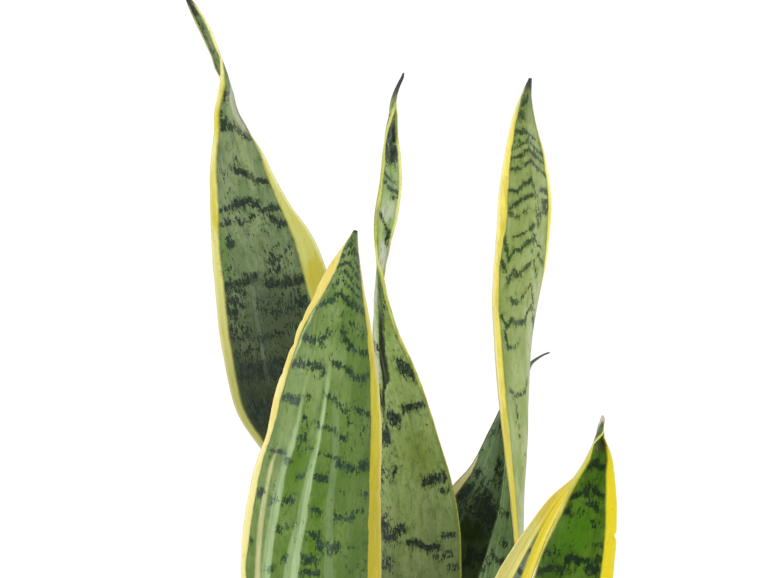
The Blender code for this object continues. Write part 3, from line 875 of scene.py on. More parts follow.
STATIONS["leaf_middle"] = (
    (-11.5, -7, 101.5, 26, 174, 110), (-11.5, -7, 126.25, 27, 174, 110),
    (-8.5, -7, 226, 38.75, 170, 80), (-5.5, -8, 295.75, 50.75, 165, 60),
    (-5.25, -8, 345.5, 52.75, 162, 52), (-7, -9, 370.5, 48.25, 160, 52),
    (-9.5, -9, 390.5, 41.75, 158, 54), (-13.75, -10, 425.25, 28.5, 150, 60),
    (-18.75, -11, 452.5, 15.75, 139, 68), (-19.75, -11, 460.5, 13.75, 129, 84),
    (-20.5, -12, 468.5, 13, 113, 100), (-20.5, -12, 475, 12.75, 93, 124),
    (-20.25, -12, 479.5, 12.25, 83, 112), (-20, -13, 486, 11.5, 62, 86),
    (-19.25, -13, 492.75, 11, 40, 80), (-16.75, -13, 507.75, 13, 13, 74),
    (-14.25, -14, 524.5, 12, 0, 80), (-14.25, -14, 536.5, 10.75, 12, 106),
    (-15.25, -14, 546, 10.5, 38, 160), (-15, -14, 551.5, 10, 50, 176),
    (-14.5, -14, 556.25, 9.25, 66, 184), (-14.25, -14, 561.25, 8.5, 86, 200),
    (-13.25, -14, 565.75, 6, 95, 220), (-11.25, -14, 570.75, 4, 100, 220),
    (-8.75, -14, 575.75, 3, 102, 220), (-7.75, -14, 577.75, 1, 104, 180),
)
STATIONS["leaf_tall_right"] = (
    (55.25, 4, 99.25, 21, 270, 104), (55.25, 4, 124.25, 22, 270, 104),
    (54.25, 4, 194.5, 24, 270, 76), (52.75, 4, 264.5, 24, 270, 50),
    (50.5, 3, 334.75, 23, 268, 36), (50.5, 2, 365, 25, 258, 52), (51.5, 1, 390, 27, 244, 74),
    (50.75, 0, 415, 27.5, 234, 80), (50, -1, 442.5, 27.75, 222, 80),
    (50.5, -3, 465, 29.5, 210, 80), (53, -5, 487.5, 31.5, 202, 80), (54.25, -7, 509, 31, 196, 80),
    (53.25, -9, 532.25, 25, 192, 84), (52, -11, 552.5, 14.75, 188, 96),
    (53.5, -12, 567.5, 5.5, 186, 120), (55.25, -12, 575.25, 1.5, 185, 150),
)
STATIONS["leaf_leaning_right"] = (
    (-8.5, 9, 98, 21, -30, 110), (-7.5, 9, 123.25, 22, -30, 110), (-2, 12, 233.5, 27.25, -18, 76),
    (7.75, 17, 295.5, 31.25, -12, 56), (17.5, 21, 334.5, 32.5, -8, 46),
    (27, 25, 359.5, 29.5, -6, 46), (35.5, 28, 378.5, 18.25, -4, 56),
    (40, 30, 395.75, 10.5, -2, 70), (43.25, 31, 408, 5.5, 0, 100), (45.5, 32, 418, 1.5, 0, 150),
)
STATIONS["leaf_front_right"] = (
    (45.75, -23, 104.75, 21.75, 180, 110), (47, -24, 129.5, 22.75, 180, 110),
    (57, -33, 239.25, 33.5, 180, 76), (67.5, -39, 296.5, 41, 180, 54),
    (75.5, -42, 329.5, 39.25, 180, 46), (81.75, -44, 356.75, 30.5, 180, 46),
    (85, -45, 375, 22, 184, 24), (86.25, -45, 381.75, 17.5, 186, -10),
    (87, -46, 389.5, 13, 192, -50), (86.25, -46, 395, 10.5, 210, -140),
    (86, -46, 397.75, 10, 238, -180), (86.5, -46, 400.25, 9.5, 258, -200),
    (87, -46, 403.25, 7.5, 274, -220), (88, -46, 405.75, 5.25, 276, -220),
    (88.5, -46, 407.5, 4.5, 278, -210), (89, -46, 409, 1.9, 278, -180),
)
STATIONS["leaf_narrow_right"] = (
    (30.75, -8, 101.5, 19, 0, 116), (30.75, -8, 126.5, 20, 0, 116),
    (31.25, -11, 206.5, 22, 0, 100), (33, -15, 261.75, 22.75, 0, 90),
    (38.5, -20, 302, 21.75, 0, 80), (45.25, -23, 325.5, 18.75, 0, 76),
    (51.75, -25, 339.25, 15.25, 0, 76), (59.25, -27, 353, 11.5, 0, 80),
    (67, -28, 365.25, 8.5, 0, 90), (74.25, -28, 374, 4.5, 0, 120), (79.5, -28, 380, 1.5, 0, 150),
)
STATIONS["leaf_thread_tip"] = (
    (36, 14, 97, 19, 5, 110), (35.5, 14, 122.25, 20.25, 5, 110), (34, 18, 187.25, 21.25, 5, 96),
    (32.75, 26, 252, 23.25, 4, 76), (37, 33, 307, 23.5, 2, 60), (41.5, 38, 342.5, 21, 0, 54),
    (45.5, 40, 373, 17, 0, 54), (48.75, 40, 398.5, 13.25, 0, 60), (51.5, 41, 416.25, 8.75, 0, 80),
    (54.5, 41, 427, 4.5, 0, 120), (58.25, 42, 433, 1.8, 0, 150), (61.75, 42, 435.5, 1.1, 0, 110),
    (65, 42, 437.25, 0.8, 0, 80), (67.25, 42, 438, 0.8, 0, 60),
)

# Colours are 0-255. Heights are mm along the leaf from its foot, and places across it go
# from -1 at its left edge to 1 at its right. Margins (mm), depth of the margins' colour,
# shade and speckle are tables of height, value; the shade tables are painted shade, mostly
# where folds and the leaves in front shade the blade. A band is half its thickness, its
# strength and then place, height from left to right. A streak is a colour, a strength and
# then height, place, half width in mm; the streaks are painted highlights along the flutes
# and painted shade in the creases. Brown, vivid and dull hold spots; the dull spots are
# greyer patches on some leaves and painted sheen and paler lit facets on others. A flute is
# its lowest and highest height, its place at each, its width and how far it rises in mm. A
# nick is its height, its side, its depth and its half length in mm.
PLAIN = (0, 0, 600, 0)
# Streak colours: painted highlights in cream and pale sage, painted shade in the creases
CREAM_HIGHLIGHT = (200, 198, 142)
CREASE_SHADE = (42, 56, 20)
SAGE_HIGHLIGHT = (172, 196, 146)
GREY_GREEN = dict(
    green=(103, 121, 80), light=(125, 141, 96), mid=(88, 108, 60), mid_dark=(62, 82, 48),
    dark=(24, 36, 26), shade_tint=(26, 34, 18), vivid_tint=(96, 130, 40), dull_and_sheen_tint=(88, 98, 74),
    left_tint=(226, 220, 128), right_tint=(208, 200, 104), left_gold=(206, 194, 50),
    right_gold=(206, 194, 50), margin_highlight=(242, 240, 184), fleck_and_shade_tint=(132, 140, 34),
    rim=(232, 222, 168), smoke=(54, 72, 54), line_tint=(84, 100, 30), tip=(58, 60, 54),
    stain=(92, 62, 36), soft=0.6, edge_highlight=0.55, cork=0.6, gloss=0.26, ink=0.92, stipple=0.5,
    line=0.35, border=0.3, ragged=1, tufts=0.35, fray=0.2, tip_mm=7, spare_strength=0.95,
    left_deep=PLAIN, right_deep=PLAIN, speckle=PLAIN, shade=PLAIN, shade_left=PLAIN,
    shade_right=PLAIN, brown=(), vivid=(), dull_and_sheen=(), painted_light_streaks=(), flutes=(), nicks=(),
)
LOOKS = {}
LOOKS["leaf_back_left"] = dict(
    GREY_GREEN,
    green=(109, 128, 84), light=(132, 149, 103), vivid_tint=(104, 132, 62),
    dull_and_sheen_tint=(84, 98, 68), left_tint=(230, 226, 134), right_tint=(198, 198, 106),
    left_gold=(214, 202, 62), right_gold=(194, 182, 58), fleck_and_shade_tint=(138, 140, 50),
    smoke=(46, 62, 48), border=0.8, tufts=0.4, fray=0.5, bands_from=310, tip_mm=14,
    left_deep=(0, 0, 410, -0.6, 425, 0.5, 445, 0.5, 460, 0, 472, 0.9, 484, 0.2, 500, 0, 546, 0),
    right_deep=(0, 0.5, 378, 0, 386, 0.5, 391, 0.4, 396, -0.3, 406, -0.6, 430, -0.5, 460, -0.6),
    speckle=(0, 0.02, 340, 0.12, 385, 0.12, 400, 0.11, 420, 0.09, 440, 0.05, 460, 0.05, 510, 0.02,
        525, 0.08, 546, 0.12),
    shade=(0, 0, 150, 0.1, 260, 0.4, 325, 0.97, 345, 0.85, 360, 0.48, 378, 0.28, 400, 0.08, 420,
        0, 600, 0),
    left_margin=(0, 3, 325, 3.4, 345, 4.3, 370, 4.7, 390, 4.5, 400, 4.4, 410, 3.8, 420, 3.9, 430,
        4.4, 440, 3.9, 450, 3.1, 460, 2.6, 480, 2.5, 495, 2.4, 505, 1.7, 520, 1.5, 530, 1.2, 538,
        0.6, 546, 0.2),
    right_margin=(0, 4, 330, 11, 380, 12.5, 400, 10.4, 410, 8.6, 420, 6.4, 430, 4.5, 440, 3.2,
        450, 1.8, 460, 0.6, 468, 0, 546, 0),
    bands=(
        (3.4, 1, -0.9, 537, 0.9, 538), (2.2, 0.6, 0, 528, 0.9, 526),
        (2, 0.5, -0.2, 513, 0.9, 511), (3, 0.9, -0.35, 487, 0, 488),
        (3, 1.15, -0.55, 474, -0.2, 473.5), (1.6, 1.2, -0.45, 471.5, 0.3, 470.5),
        (1.5, 1.15, 0.3, 470, 0.6, 467, 0.95, 463.5), (1.3, 0.6, -0.55, 446, -0.25, 447),
        (1.5, 1.2, -0.1, 449, 0.2, 446, 0.45, 441, 0.85, 438),
        (1.3, 0.9, -0.75, 430, -0.3, 431.5), (1.9, 1.25, -0.3, 431.5, 0, 431, 0.3, 428),
        (1.4, 1.1, 0.3, 425, 0.6, 424, 0.85, 421), (1.5, 1.2, 0.4, 420, 0.55, 415, 0.8, 413.5),
        (1.3, 0.8, -0.85, 424, -0.35, 424), (1.2, 0.6, -0.3, 421, 0.1, 423),
        (2.6, 0.95, -0.68, 413, -0.52, 414), (4.5, 0.65, 0.05, 396, 0.3, 397),
        (1.8, 1.15, -0.83, 390.5, -0.6, 390, -0.22, 392),
        (1.9, 1.2, -0.08, 388, 0.2, 386, 0.6, 386), (3.4, 0.9, -0.83, 375, -0.66, 374),
        (4, 0.95, 0.37, 374, 0.56, 376), (1.8, 0.85, -0.42, 360, 0.05, 361.5),
        (5, 0.75, -0.85, 366, -0.5, 366), (5, 0.5, -0.85, 355, -0.4, 356),
        (5, 0.7, -0.85, 382, -0.5, 382), (4, 0.45, -0.85, 400, -0.6, 400),
        (7, 0.2, 0.1, 404, 0.7, 402), (6, 0.5, -0.3, 376, 0.3, 372), (4, 0.5, 0, 363, 0.4, 361),
        (5, 0.45, 0.3, 381, 0.6, 379), (4.4, 1.2, -0.8, 345, -0.3, 344, 0.1, 343.5),
        (4, 1, -0.8, 328, 0.3, 326),
    ),
    dull_and_sheen=((0, 372, 0.6, 22, 0.9), (0.2, 405, 0.5, 12, 0.4), (-0.1, 543, 2, 6, 0.6)),
    vivid=((-0.75, 408, 0.25, 16, 0.6),),
    painted_light_streaks=(
        ((120, 136, 110), 0.42, 335, -0.36, 1.1, 400, -0.32, 1, 430, -0.25, 0.5),
        ((152, 164, 112), 0.55, 432, 0.3, 1.2, 452, 0.42, 2.2, 472, 0.4, 2.2, 486, 0.2, 2.4, 500,
            0, 2),
        ((192, 195, 170), 0.75, 458, 0.92, 0.5, 475, 0.72, 1.4, 490, 0.5, 2.4, 506, 0.2, 2.4),
        ((146, 128, 112), 0.4, 462, 0.84, 0.35, 480, 0.6, 0.4, 504, 0.3, 0.5),
        ((96, 92, 80), 0.45, 465, 0.97, 0.4, 485, 0.88, 0.5, 500, 0.6, 0.4),
    ),
    flutes=((150, 500, 0, 0, 7, -0.9), (330, 440, -0.36, -0.25, 1.6, 0.4)),
    nicks=((456, 1, -1.3, 10), (419, 1, 1.1, 10)),
)
LOOKS["leaf_front_left"] = dict(
    GREY_GREEN,
    green=(92, 120, 48), light=(116, 140, 70), mid=(78, 114, 32), mid_dark=(60, 94, 30),
    dark=(26, 46, 30), shade_tint=(54, 78, 32), vivid_tint=(82, 118, 16), dull_and_sheen_tint=(128, 149, 88),
    left_tint=(192, 184, 44), right_tint=(230, 221, 144), left_gold=(172, 160, 30),
    right_gold=(224, 204, 92), margin_highlight=(250, 242, 190), fleck_and_shade_tint=(184, 166, 56),
    rim=(216, 190, 128), smoke=(54, 80, 58), soft=0.55, edge_highlight=0.3, stipple=0.4, tufts=0.3,
    bands_from=226, tip_mm=3,
    left_deep=(0, 0.6, 280, 0.5, 300, -0.1, 340, -0.1, 370, -0.5, 402, -0.5),
    right_deep=(0, -0.4, 290, -0.5, 310, 0, 345, 0.5, 382, 0.5, 395, 0),
    speckle=(0, 0, 330, 0, 360, 0.05, 402, 0.1),
    shade=(0, 0, 350, 0, 375, 0.05, 390, 0.1, 402, 0.4),
    left_margin=(0, 4, 240, 7, 255, 6.5, 270, 5.9, 300, 5.7, 310, 5.2, 320, 4.8, 330, 4, 340, 3.1,
        350, 2.6, 360, 1.9, 370, 1.4, 382, 0.7, 395, 0.2, 402, 0),
    right_margin=(0, 3, 235, 2.7, 250, 3.6, 270, 3.7, 280, 3.3, 290, 2.3, 300, 2.6, 310, 3.2, 320,
        3.6, 335, 3, 350, 3.2, 360, 4.2, 370, 5.7, 380, 5.2, 388, 2.6, 394, 1, 402, 0),
    shade_right=(0, 0, 402, 0),
    shade_left=(0, 0.7, 300, 0.6, 330, 0.4, 360, 0.4, 385, 0.7, 402, 0.3),
    bands=(
        (0.9, 0.9, -0.9, 388, 0, 395, 0.9, 389), (0.9, 0.85, -0.9, 383, -0.1, 391, 0.9, 385),
        (0.9, 0.85, -0.9, 378, -0.1, 386, 0.9, 380), (0.9, 0.85, -0.85, 373, 0, 381, 0.85, 375),
        (0.9, 0.9, -0.8, 369, -0.3, 374, 0, 376.5, 0.3, 373, 0.8, 371),
        (1.2, 1.1, -0.85, 362, -0.65, 363, -0.3, 366.5, 0, 369, 0.25, 366, 0.6, 362),
        (1.5, 1, -0.85, 364, -0.35, 366), (2.4, 0.75, -0.75, 353, -0.4, 356),
        (1.9, 1.15, 0.15, 348, 0.3, 345.5, 0.75, 346), (0.9, 0.8, -0.05, 352, 0.15, 348),
        (1.6, 1.15, -0.85, 342, -0.5, 343.5, -0.35, 346, -0.2, 352),
        (1.8, 1.2, 0.12, 331, 0.3, 334, 0.8, 334),
        (1.5, 1.1, -0.8, 331, -0.65, 328, -0.48, 330, -0.35, 333.5, -0.05, 336),
        (1.9, 1.2, 0.5, 316.5, 0.82, 317), (0.8, 0.8, 0.28, 318.5, 0.42, 319.5),
        (1.2, 0.9, -0.06, 319.5, 0.04, 320.5), (1.3, 1, -0.42, 312, -0.25, 316, -0.1, 318.5),
        (1.5, 1, -0.8, 312, -0.5, 315), (3, 0.5, -0.8, 305, -0.6, 306),
        (6, 0.95, 0.31, 299, 0.4, 300), (1, 0.9, 0.34, 308, 0.38, 308.5),
        (1, 0.9, 0.06, 303.5, 0.15, 306), (1, 1, -0.2, 303, 0, 305),
        (1.2, 0.95, -0.38, 298.5, -0.16, 303), (0.8, 1, -0.28, 290.5, 0.05, 291.5),
        (2, 1.25, -0.8, 290, -0.55, 287.5, -0.27, 288), (1.1, 0.9, 0.55, 288.5, 0.85, 288.5),
        (2, 1.1, 0.46, 285, 0.53, 285), (1.5, 0.9, 0.17, 293, 0.26, 293),
        (1.9, 1.25, -0.15, 280.5, 0.05, 280), (1.5, 0.95, 0.23, 279, 0.31, 279),
        (1.5, 0.8, -0.43, 273, -0.36, 275), (2, 0.95, -0.79, 274, -0.71, 274),
        (1.7, 1.2, 0.77, 270, 0.87, 269), (1.8, 0.9, 0.53, 267, 0.64, 267),
        (1.6, 1.15, 0.32, 268.5, 0.45, 267), (1.8, 1.15, -0.1, 263, 0.03, 264.5),
        (1.8, 1.1, -0.59, 262.5, -0.29, 261), (1.1, 0.9, -0.76, 266.5, -0.6, 264.5),
        (1.5, 1.05, 0.34, 255, 0.49, 253.5), (1.5, 0.7, 0.12, 257, 0.23, 257),
        (1.7, 1.25, -0.15, 245.5, -0.05, 251, 0.09, 253.5), (3, 0.95, -0.39, 246, -0.22, 246),
        (1, 0.8, -0.57, 247, -0.5, 245), (2.2, 1.15, 0.84, 247.5, 0.91, 248),
        (1.8, 1.1, 0.33, 241, 0.43, 239), (2.6, 1.2, -0.07, 240, 0.12, 241),
        (1.5, 0.8, -0.57, 234.5, -0.53, 235), (9, 0.3, -0.85, 245, -0.4, 240),
        (10, 0.3, -0.8, 306, -0.3, 302), (1.5, 0.95, -0.78, 235, -0.74, 235),
        (1.5, 1, -0.13, 233.5, 0.13, 234), (1.4, 1.1, 0.52, 235, 0.59, 234.5),
    ),
    vivid=(
        (0.32, 282, 0.18, 24, 0.7), (-0.06, 268, 0.12, 18, 0.65), (0.36, 242, 0.1, 12, 0.6),
        (-0.02, 246, 0.12, 14, 0.65), (-0.75, 345, 0.25, 14, 0.4),
    ),
    dull_and_sheen=(
        (0.1, 336, 0.7, 22, 0.75), (0.72, 300, 0.12, 20, 0.7), (0, 360, 0.5, 8, 0.7),
        (0.15, 386, 0.95, 18, 0.95),
    ),
    painted_light_streaks=(
        (SAGE_HIGHLIGHT, 0.45, 150, 0.5, 4, 225, 0.3, 3.4, 240, 0.255, 3.1, 260, 0.165, 2.4, 280, 0.125,
            1.7, 300, 0.1, 1.2, 320, 0.035, 0.9, 340, 0, 0.7),
        (SAGE_HIGHLIGHT, 0.75, 150, 0.42, 2, 225, 0.25, 1.9, 240, 0.2, 1.8, 260, 0.125, 1.5, 280, 0.1,
            1, 300, 0.085, 0.8, 318, 0.03, 0.5, 330, 0.01, 0.4),
        (SAGE_HIGHLIGHT, 0.42, 150, 0.72, 2.9, 240, 0.61, 2.3, 260, 0.555, 2.3, 280, 0.54, 1.8, 300,
            0.505, 1.4, 312, 0.46, 1, 336, 0.42, 0.6),
        (SAGE_HIGHLIGHT, 0.65, 150, 0.69, 1.4, 240, 0.58, 1.3, 260, 0.53, 1.2, 280, 0.52, 0.9, 300,
            0.495, 0.7, 316, 0.455, 0.4),
        ((132, 154, 112), 0.45, 180, -0.27, 2.6, 260, -0.24, 1.9, 290, -0.22, 1.6, 324, -0.13,
            1.6),
        ((200, 210, 142), 0.8, 332, 0.84, 0.5, 350, 0.77, 0.6, 362, 0.68, 0.6, 376, 0.58, 0.45),
        ((104, 96, 66), 0.5, 346, 0.66, 0.3, 362, 0.56, 0.4, 374, 0.48, 0.3),
        (CREAM_HIGHLIGHT, 0.85, 120, 0.76, 1.9, 235, 0.745, 1.5, 250, 0.745, 1.3, 280, 0.74, 0.9, 295, 0.75,
            0.5),
    ),
    flutes=(
        (120, 350, 0.52, 0, 4, -0.9), (120, 345, 0.74, 0.44, 3, -0.7),
        (120, 310, -0.27, -0.24, 3, -0.4),
    ),
    nicks=(
        (343, 1, 0.7, 1.6), (329, 1, 0.5, 1.5), (355, 1, 0.4, 1.4), (276, -1, 0.4, 2.2),
        (334, 1, 1, 6), (345, 1, 1.3, 6), (356, 1, 1.1, 6), (366, 1, 1.6, 6), (376, 1, 0.5, 4),
    ),
)
LOOKS["leaf_middle"] = dict(
    GREY_GREEN,
    green=(150, 174, 98), light=(172, 192, 122), mid=(132, 158, 72), mid_dark=(92, 116, 60),
    dark=(28, 40, 28), shade_tint=(40, 56, 20), vivid_tint=(134, 156, 66), dull_and_sheen_tint=(192, 198, 178),
    left_tint=(214, 216, 104), right_tint=(226, 226, 140), left_gold=(112, 126, 16),
    right_gold=(150, 156, 40), rim=(196, 200, 104), smoke=(66, 86, 72), edge_highlight=0.12, cork=0.4,
    ink=0.96, stipple=0.35, ragged=0.85, tufts=0.5, fray=1, bands_from=220, tip_mm=30,
    left_deep=(0, 0.9, 290, 0.9, 330, 0, 378, -0.5, 387, -0.5, 394, 0.3, 412, 0.2, 430, -0.3, 480,
        0.3),
    right_deep=(0, 0.5, 400, -0.3, 440, -0.3, 480, 0.5),
    speckle=(0, 0, 225, 0.05, 255, 0.09, 300, 0.09, 320, 0.03, 380, 0, 480, 0.04),
    shade=(0, 0.1, 220, 0.34, 245, 0.2, 270, 0.03, 450, 0, 458, 0.1, 464, 0),
    left_margin=(0, 1, 230, 0.9, 290, 0.9, 320, 1, 340, 1.1, 375, 1.5, 388, 2.6, 410, 2.4, 425,
        1.6, 455, 1.4, 465, 0.7, 480, 0.2),
    right_margin=(0, 2.5, 340, 2.5, 360, 0.3, 385, 0.4, 400, 1.1, 455, 1.2, 466, 0.5, 480, 0.2),
    shade_right=(0, 0.2, 200, 0.3, 300, 0.2, 330, 0, 372, 0, 378, 0.5, 381, 0),
    shade_left=(0, 0.3, 260, 0.3, 300, 0, 345, 0, 360, 0.4, 376, 0.5, 382, 0),
    bands=(
        (4.5, 1.3, -0.9, 438, 0.9, 438), (6, 1.3, -0.9, 448, 0.9, 448),
        (2.5, 0.75, -0.9, 456, 0.9, 456),
        (0.55, 1.2, -0.7, 429, -0.3, 426.3, 0.1, 424, 0.6, 423.3),
        (0.7, 1.3, -0.7, 424.5, -0.35, 423, -0.1, 421.3, 0.2, 420, 0.85, 419.5),
        (1.2, 0.9, 0.4, 416, 0.9, 418), (3.2, 1.15, 0.45, 397, 0.9, 397),
        (0.7, 1.1, -0.3, 381.5, 0.3, 377.5, 0.9, 372), (0.8, 1, -0.55, 408, 0, 403, 0.4, 400),
        (6, 0.6, -0.85, 366, -0.55, 363), (3, 1, 0.3, 341, 0.85, 342),
        (2.8, 1.25, -0.86, 326.5, -0.43, 331.5), (3, 1.25, -0.1, 304.5, 0.18, 306.5),
        (1.5, 1.15, -0.85, 311, -0.25, 309.5), (3, 1.1, 0.42, 316, 0.55, 313),
        (5, 0.85, 0.5, 280, 0.64, 276), (4.6, 1.05, 0.2, 297, 0.55, 298),
        (2, 0.8, 0.3, 278, 0.45, 280), (1.5, 0.7, 0.1, 281, 0.2, 277),
        (1.8, 1.2, -0.9, 274, -0.6, 273, -0.42, 272), (1.5, 0.8, -0.9, 267, -0.75, 268),
        (5, 1.1, 0.4, 250, 0.6, 252), (2.5, 1, 0.05, 250, 0.25, 248),
        (3.5, 0.9, 0.2, 246, 0.4, 246), (1.3, 1.3, -0.6, 241, -0.35, 240, -0.2, 242.5, 0, 243),
        (1.4, 0.9, -0.9, 246, -0.65, 246), (1.8, 0.85, -0.85, 237, -0.5, 235),
        (1.5, 0.8, -0.95, 231, -0.75, 231), (3, 0.9, 0.3, 232, 0.55, 232),
    ),
    vivid=((-0.5, 288, 0.75, 20, 0.6), (-0.3, 318, 0.4, 8, 0.35), (-0.5, 352, 0.4, 12, 0.7)),
    dull_and_sheen=(
        (0.7, 354, 0.35, 16, 1), (0.52, 332, 0.12, 12, 0.8), (0.4, 368, 0.7, 7, 1.3),
        (0.15, 375, 0.5, 4, 1.2), (0.5, 387, 0.9, 9, 1.2), (0.1, 409, 0.9, 9, 0.45),
        (-0.9, 446, 0.6, 10, 0.6),
    ),
    painted_light_streaks=(
        ((122, 146, 104), 0.6, 412, 0, 3.5, 424, 0, 4.5, 438, 0, 4.5),
        ((70, 80, 30), 0.6, 410, -0.72, 0.3, 420, -0.72, 0.6, 434, -0.75, 0.5),
        ((40, 60, 34), 0.8, 424, 0.02, 0.1, 431, 0, 0.3, 444, 0, 0.3),
        ((202, 206, 186), 0.8, 318, 0.64, 1, 340, 0.58, 1.8, 356, 0.52, 2.4, 372, 0.4, 2.6),
        (CREASE_SHADE, 0.8, 300, 0.36, 0.5, 312, 0.35, 1.5, 317, 0.33, 1, 321, 0.26, 0.8, 325, 0.14, 2.3,
            332, 0.14, 2.5, 340, 0.1, 1.9, 350, -0.1, 1.5, 360, -0.32, 1.5, 370, -0.49, 1.2, 386,
            -0.8, 0.4),
        ((16, 24, 4), 1, 306, 0.34, 0.6, 313, 0.34, 1.5, 318, 0.3, 0.4, 324, 0.15, 2, 333, 0.15, 2,
            342, 0.07, 1.4, 352, -0.12, 0.7, 366, -0.4, 0.3),
    ),
    flutes=((60, 386, 0.3, 0.12, 3.4, -1.3), (60, 330, -0.45, -0.3, 4, 0.5)),
)
LOOKS["leaf_tall_right"] = dict(
    GREY_GREEN,
    green=(134, 152, 80), light=(152, 168, 102), mid=(119, 141, 64), mid_dark=(90, 112, 52),
    dark=(34, 54, 30), shade_tint=(58, 78, 46), vivid_tint=(120, 148, 56), dull_and_sheen_tint=(176, 184, 142),
    left_tint=(232, 222, 116), right_tint=(244, 228, 102), left_gold=(216, 202, 66),
    right_gold=(206, 192, 54), margin_highlight=(250, 244, 196), fleck_and_shade_tint=(186, 172, 62),
    rim=(240, 230, 176), smoke=(70, 92, 48), ink=0.9, stipple=0.2, ragged=0.62, tufts=0.2,
    bands_from=262, spare_strength=0.35, tip_mm=11,
    right_deep=(0, 1, 290, 1, 312, 0.3, 330, -0.5, 365, -0.4, 385, -0.1, 410, -0.1, 430, -0.2,
        450, -0.2, 480, 0),
    speckle=(0, -0.03, 350, -0.03, 400, -0.03, 477, 0.02),
    shade=(0, 0, 400, 0, 440, 0.1, 455, 0.2, 463, 0.45, 477, 0.8),
    left_margin=(0, 1, 300, 0, 365, 0, 375, 0.8, 385, 2.2, 395, 3, 410, 3.1, 420, 2.7, 430, 2.2,
        440, 1.4, 450, 0.6, 460, 0.1, 480, 0),
    right_margin=(0, 2.5, 250, 3.6, 340, 3.3, 370, 3, 380, 2.6, 390, 3.2, 400, 4.4, 410, 4.9, 420,
        4.6, 430, 4.3, 440, 3.8, 450, 3.4, 460, 2.2, 468, 0.6, 480, 0),
    bands=(
        (3, 1, -0.1, 466, 0.45, 465), (2.5, 1, 0, 458, 0.5, 459),
        (1.6, 1.15, 0.1, 450, 0.55, 450.5), (0.8, 1, -0.8, 444, -0.3, 448.5, 0.08, 452),
        (1, 1.05, -0.85, 437.5, -0.5, 441, -0.15, 446, 0.2, 443.5, 0.7, 441.5),
        (1, 1.1, -0.85, 433, -0.5, 436.5, -0.15, 442, 0.2, 438.5, 0.7, 437.5),
        (1, 1.1, -0.85, 427.5, -0.5, 431, -0.15, 436, 0.2, 432.5, 0.7, 432),
        (2.2, 0.8, 0.25, 445, 0.65, 443), (2, 0.8, 0.3, 436, 0.7, 435.5),
        (1.5, 1.2, -0.8, 419, -0.5, 420.5),
        (1, 1.25, -0.13, 426, 0.15, 424, 0.35, 421, 0.65, 421.5),
        (0.9, 0.9, -0.44, 408, -0.28, 418, -0.13, 426), (0.8, 0.85, -0.36, 405, -0.2, 416.5),
        (0.9, 0.7, -0.32, 392, -0.17, 402), (2.2, 1.15, -0.78, 411, -0.55, 411.5),
        (1.1, 1.2, -0.15, 419, 0.05, 417.5, 0.25, 416.5, 0.45, 414, 0.65, 411.5),
        (1.2, 1.1, -0.75, 415.5, -0.5, 415), (1.3, 1.1, 0.5, 409.5, 0.7, 410),
        (1.1, 0.95, 0.05, 411.5, 0.3, 408, 0.55, 408.5),
        (0.8, 0.9, -0.6, 393, -0.35, 394, -0.17, 403),
        (0.9, 1.15, -0.17, 403.5, 0, 401, 0.2, 399, 0.42, 397.5),
        (0.8, 0.9, -0.75, 385, -0.6, 387, -0.35, 391, -0.17, 397),
        (1, 1.2, -0.17, 397, 0, 395, 0.2, 391, 0.37, 391, 0.55, 386.5, 0.76, 397),
        (0.8, 0.85, -0.75, 372, -0.6, 377, -0.35, 384, -0.2, 391),
        (1, 1.15, -0.17, 385, 0.05, 381, 0.15, 378, 0.33, 380, 0.5, 375.5, 0.78, 385),
        (1.7, 1.25, 0.08, 379, 0.3, 378), (1.8, 1.15, 0.12, 365, 0.35, 365.5),
        (0.8, 0.85, -0.85, 357, -0.6, 364, -0.3, 375, -0.18, 371, 0.05, 366),
        (1.5, 1.25, -0.2, 355, 0.2, 354.5),
        (0.9, 1.05, -0.9, 352, -0.65, 358, -0.48, 363, -0.28, 360, -0.2, 355, 0.22, 354, 0.34, 357,
            0.55, 352, 0.68, 358),
        (0.9, 1, 0.05, 345, 0.3, 342, 0.5, 342.5, 0.6, 350), (1, 0.5, 0, 334, 0.15, 332),
        (1, 1.15, -0.38, 325, -0.2, 321, 0, 319, 0.35, 318.5, 0.55, 321),
        (1, 0.9, 0.28, 303, 0.35, 310), (0.9, 0.55, -0.9, 348, -0.3, 352),
        (0.9, 0.5, -0.9, 340, -0.3, 343), (1, 0.6, -0.1, 290, 0.15, 286),
        (1, 0.6, 0.1, 281, 0.3, 277),
    ),
    dull_and_sheen=(
        (-0.6, 270, 0.9, 40, 1), (-0.8, 340, 0.6, 50, 0.9), (0, 250, 1.2, 26, 0.9),
        (-0.5, 400, 0.5, 20, 0.3),
    ),
    flutes=((120, 470, -0.18, -0.18, 1.8, -0.5),),
    nicks=((452, 1, 0.9, 10), (437, 1, 0.4, 6)),
)
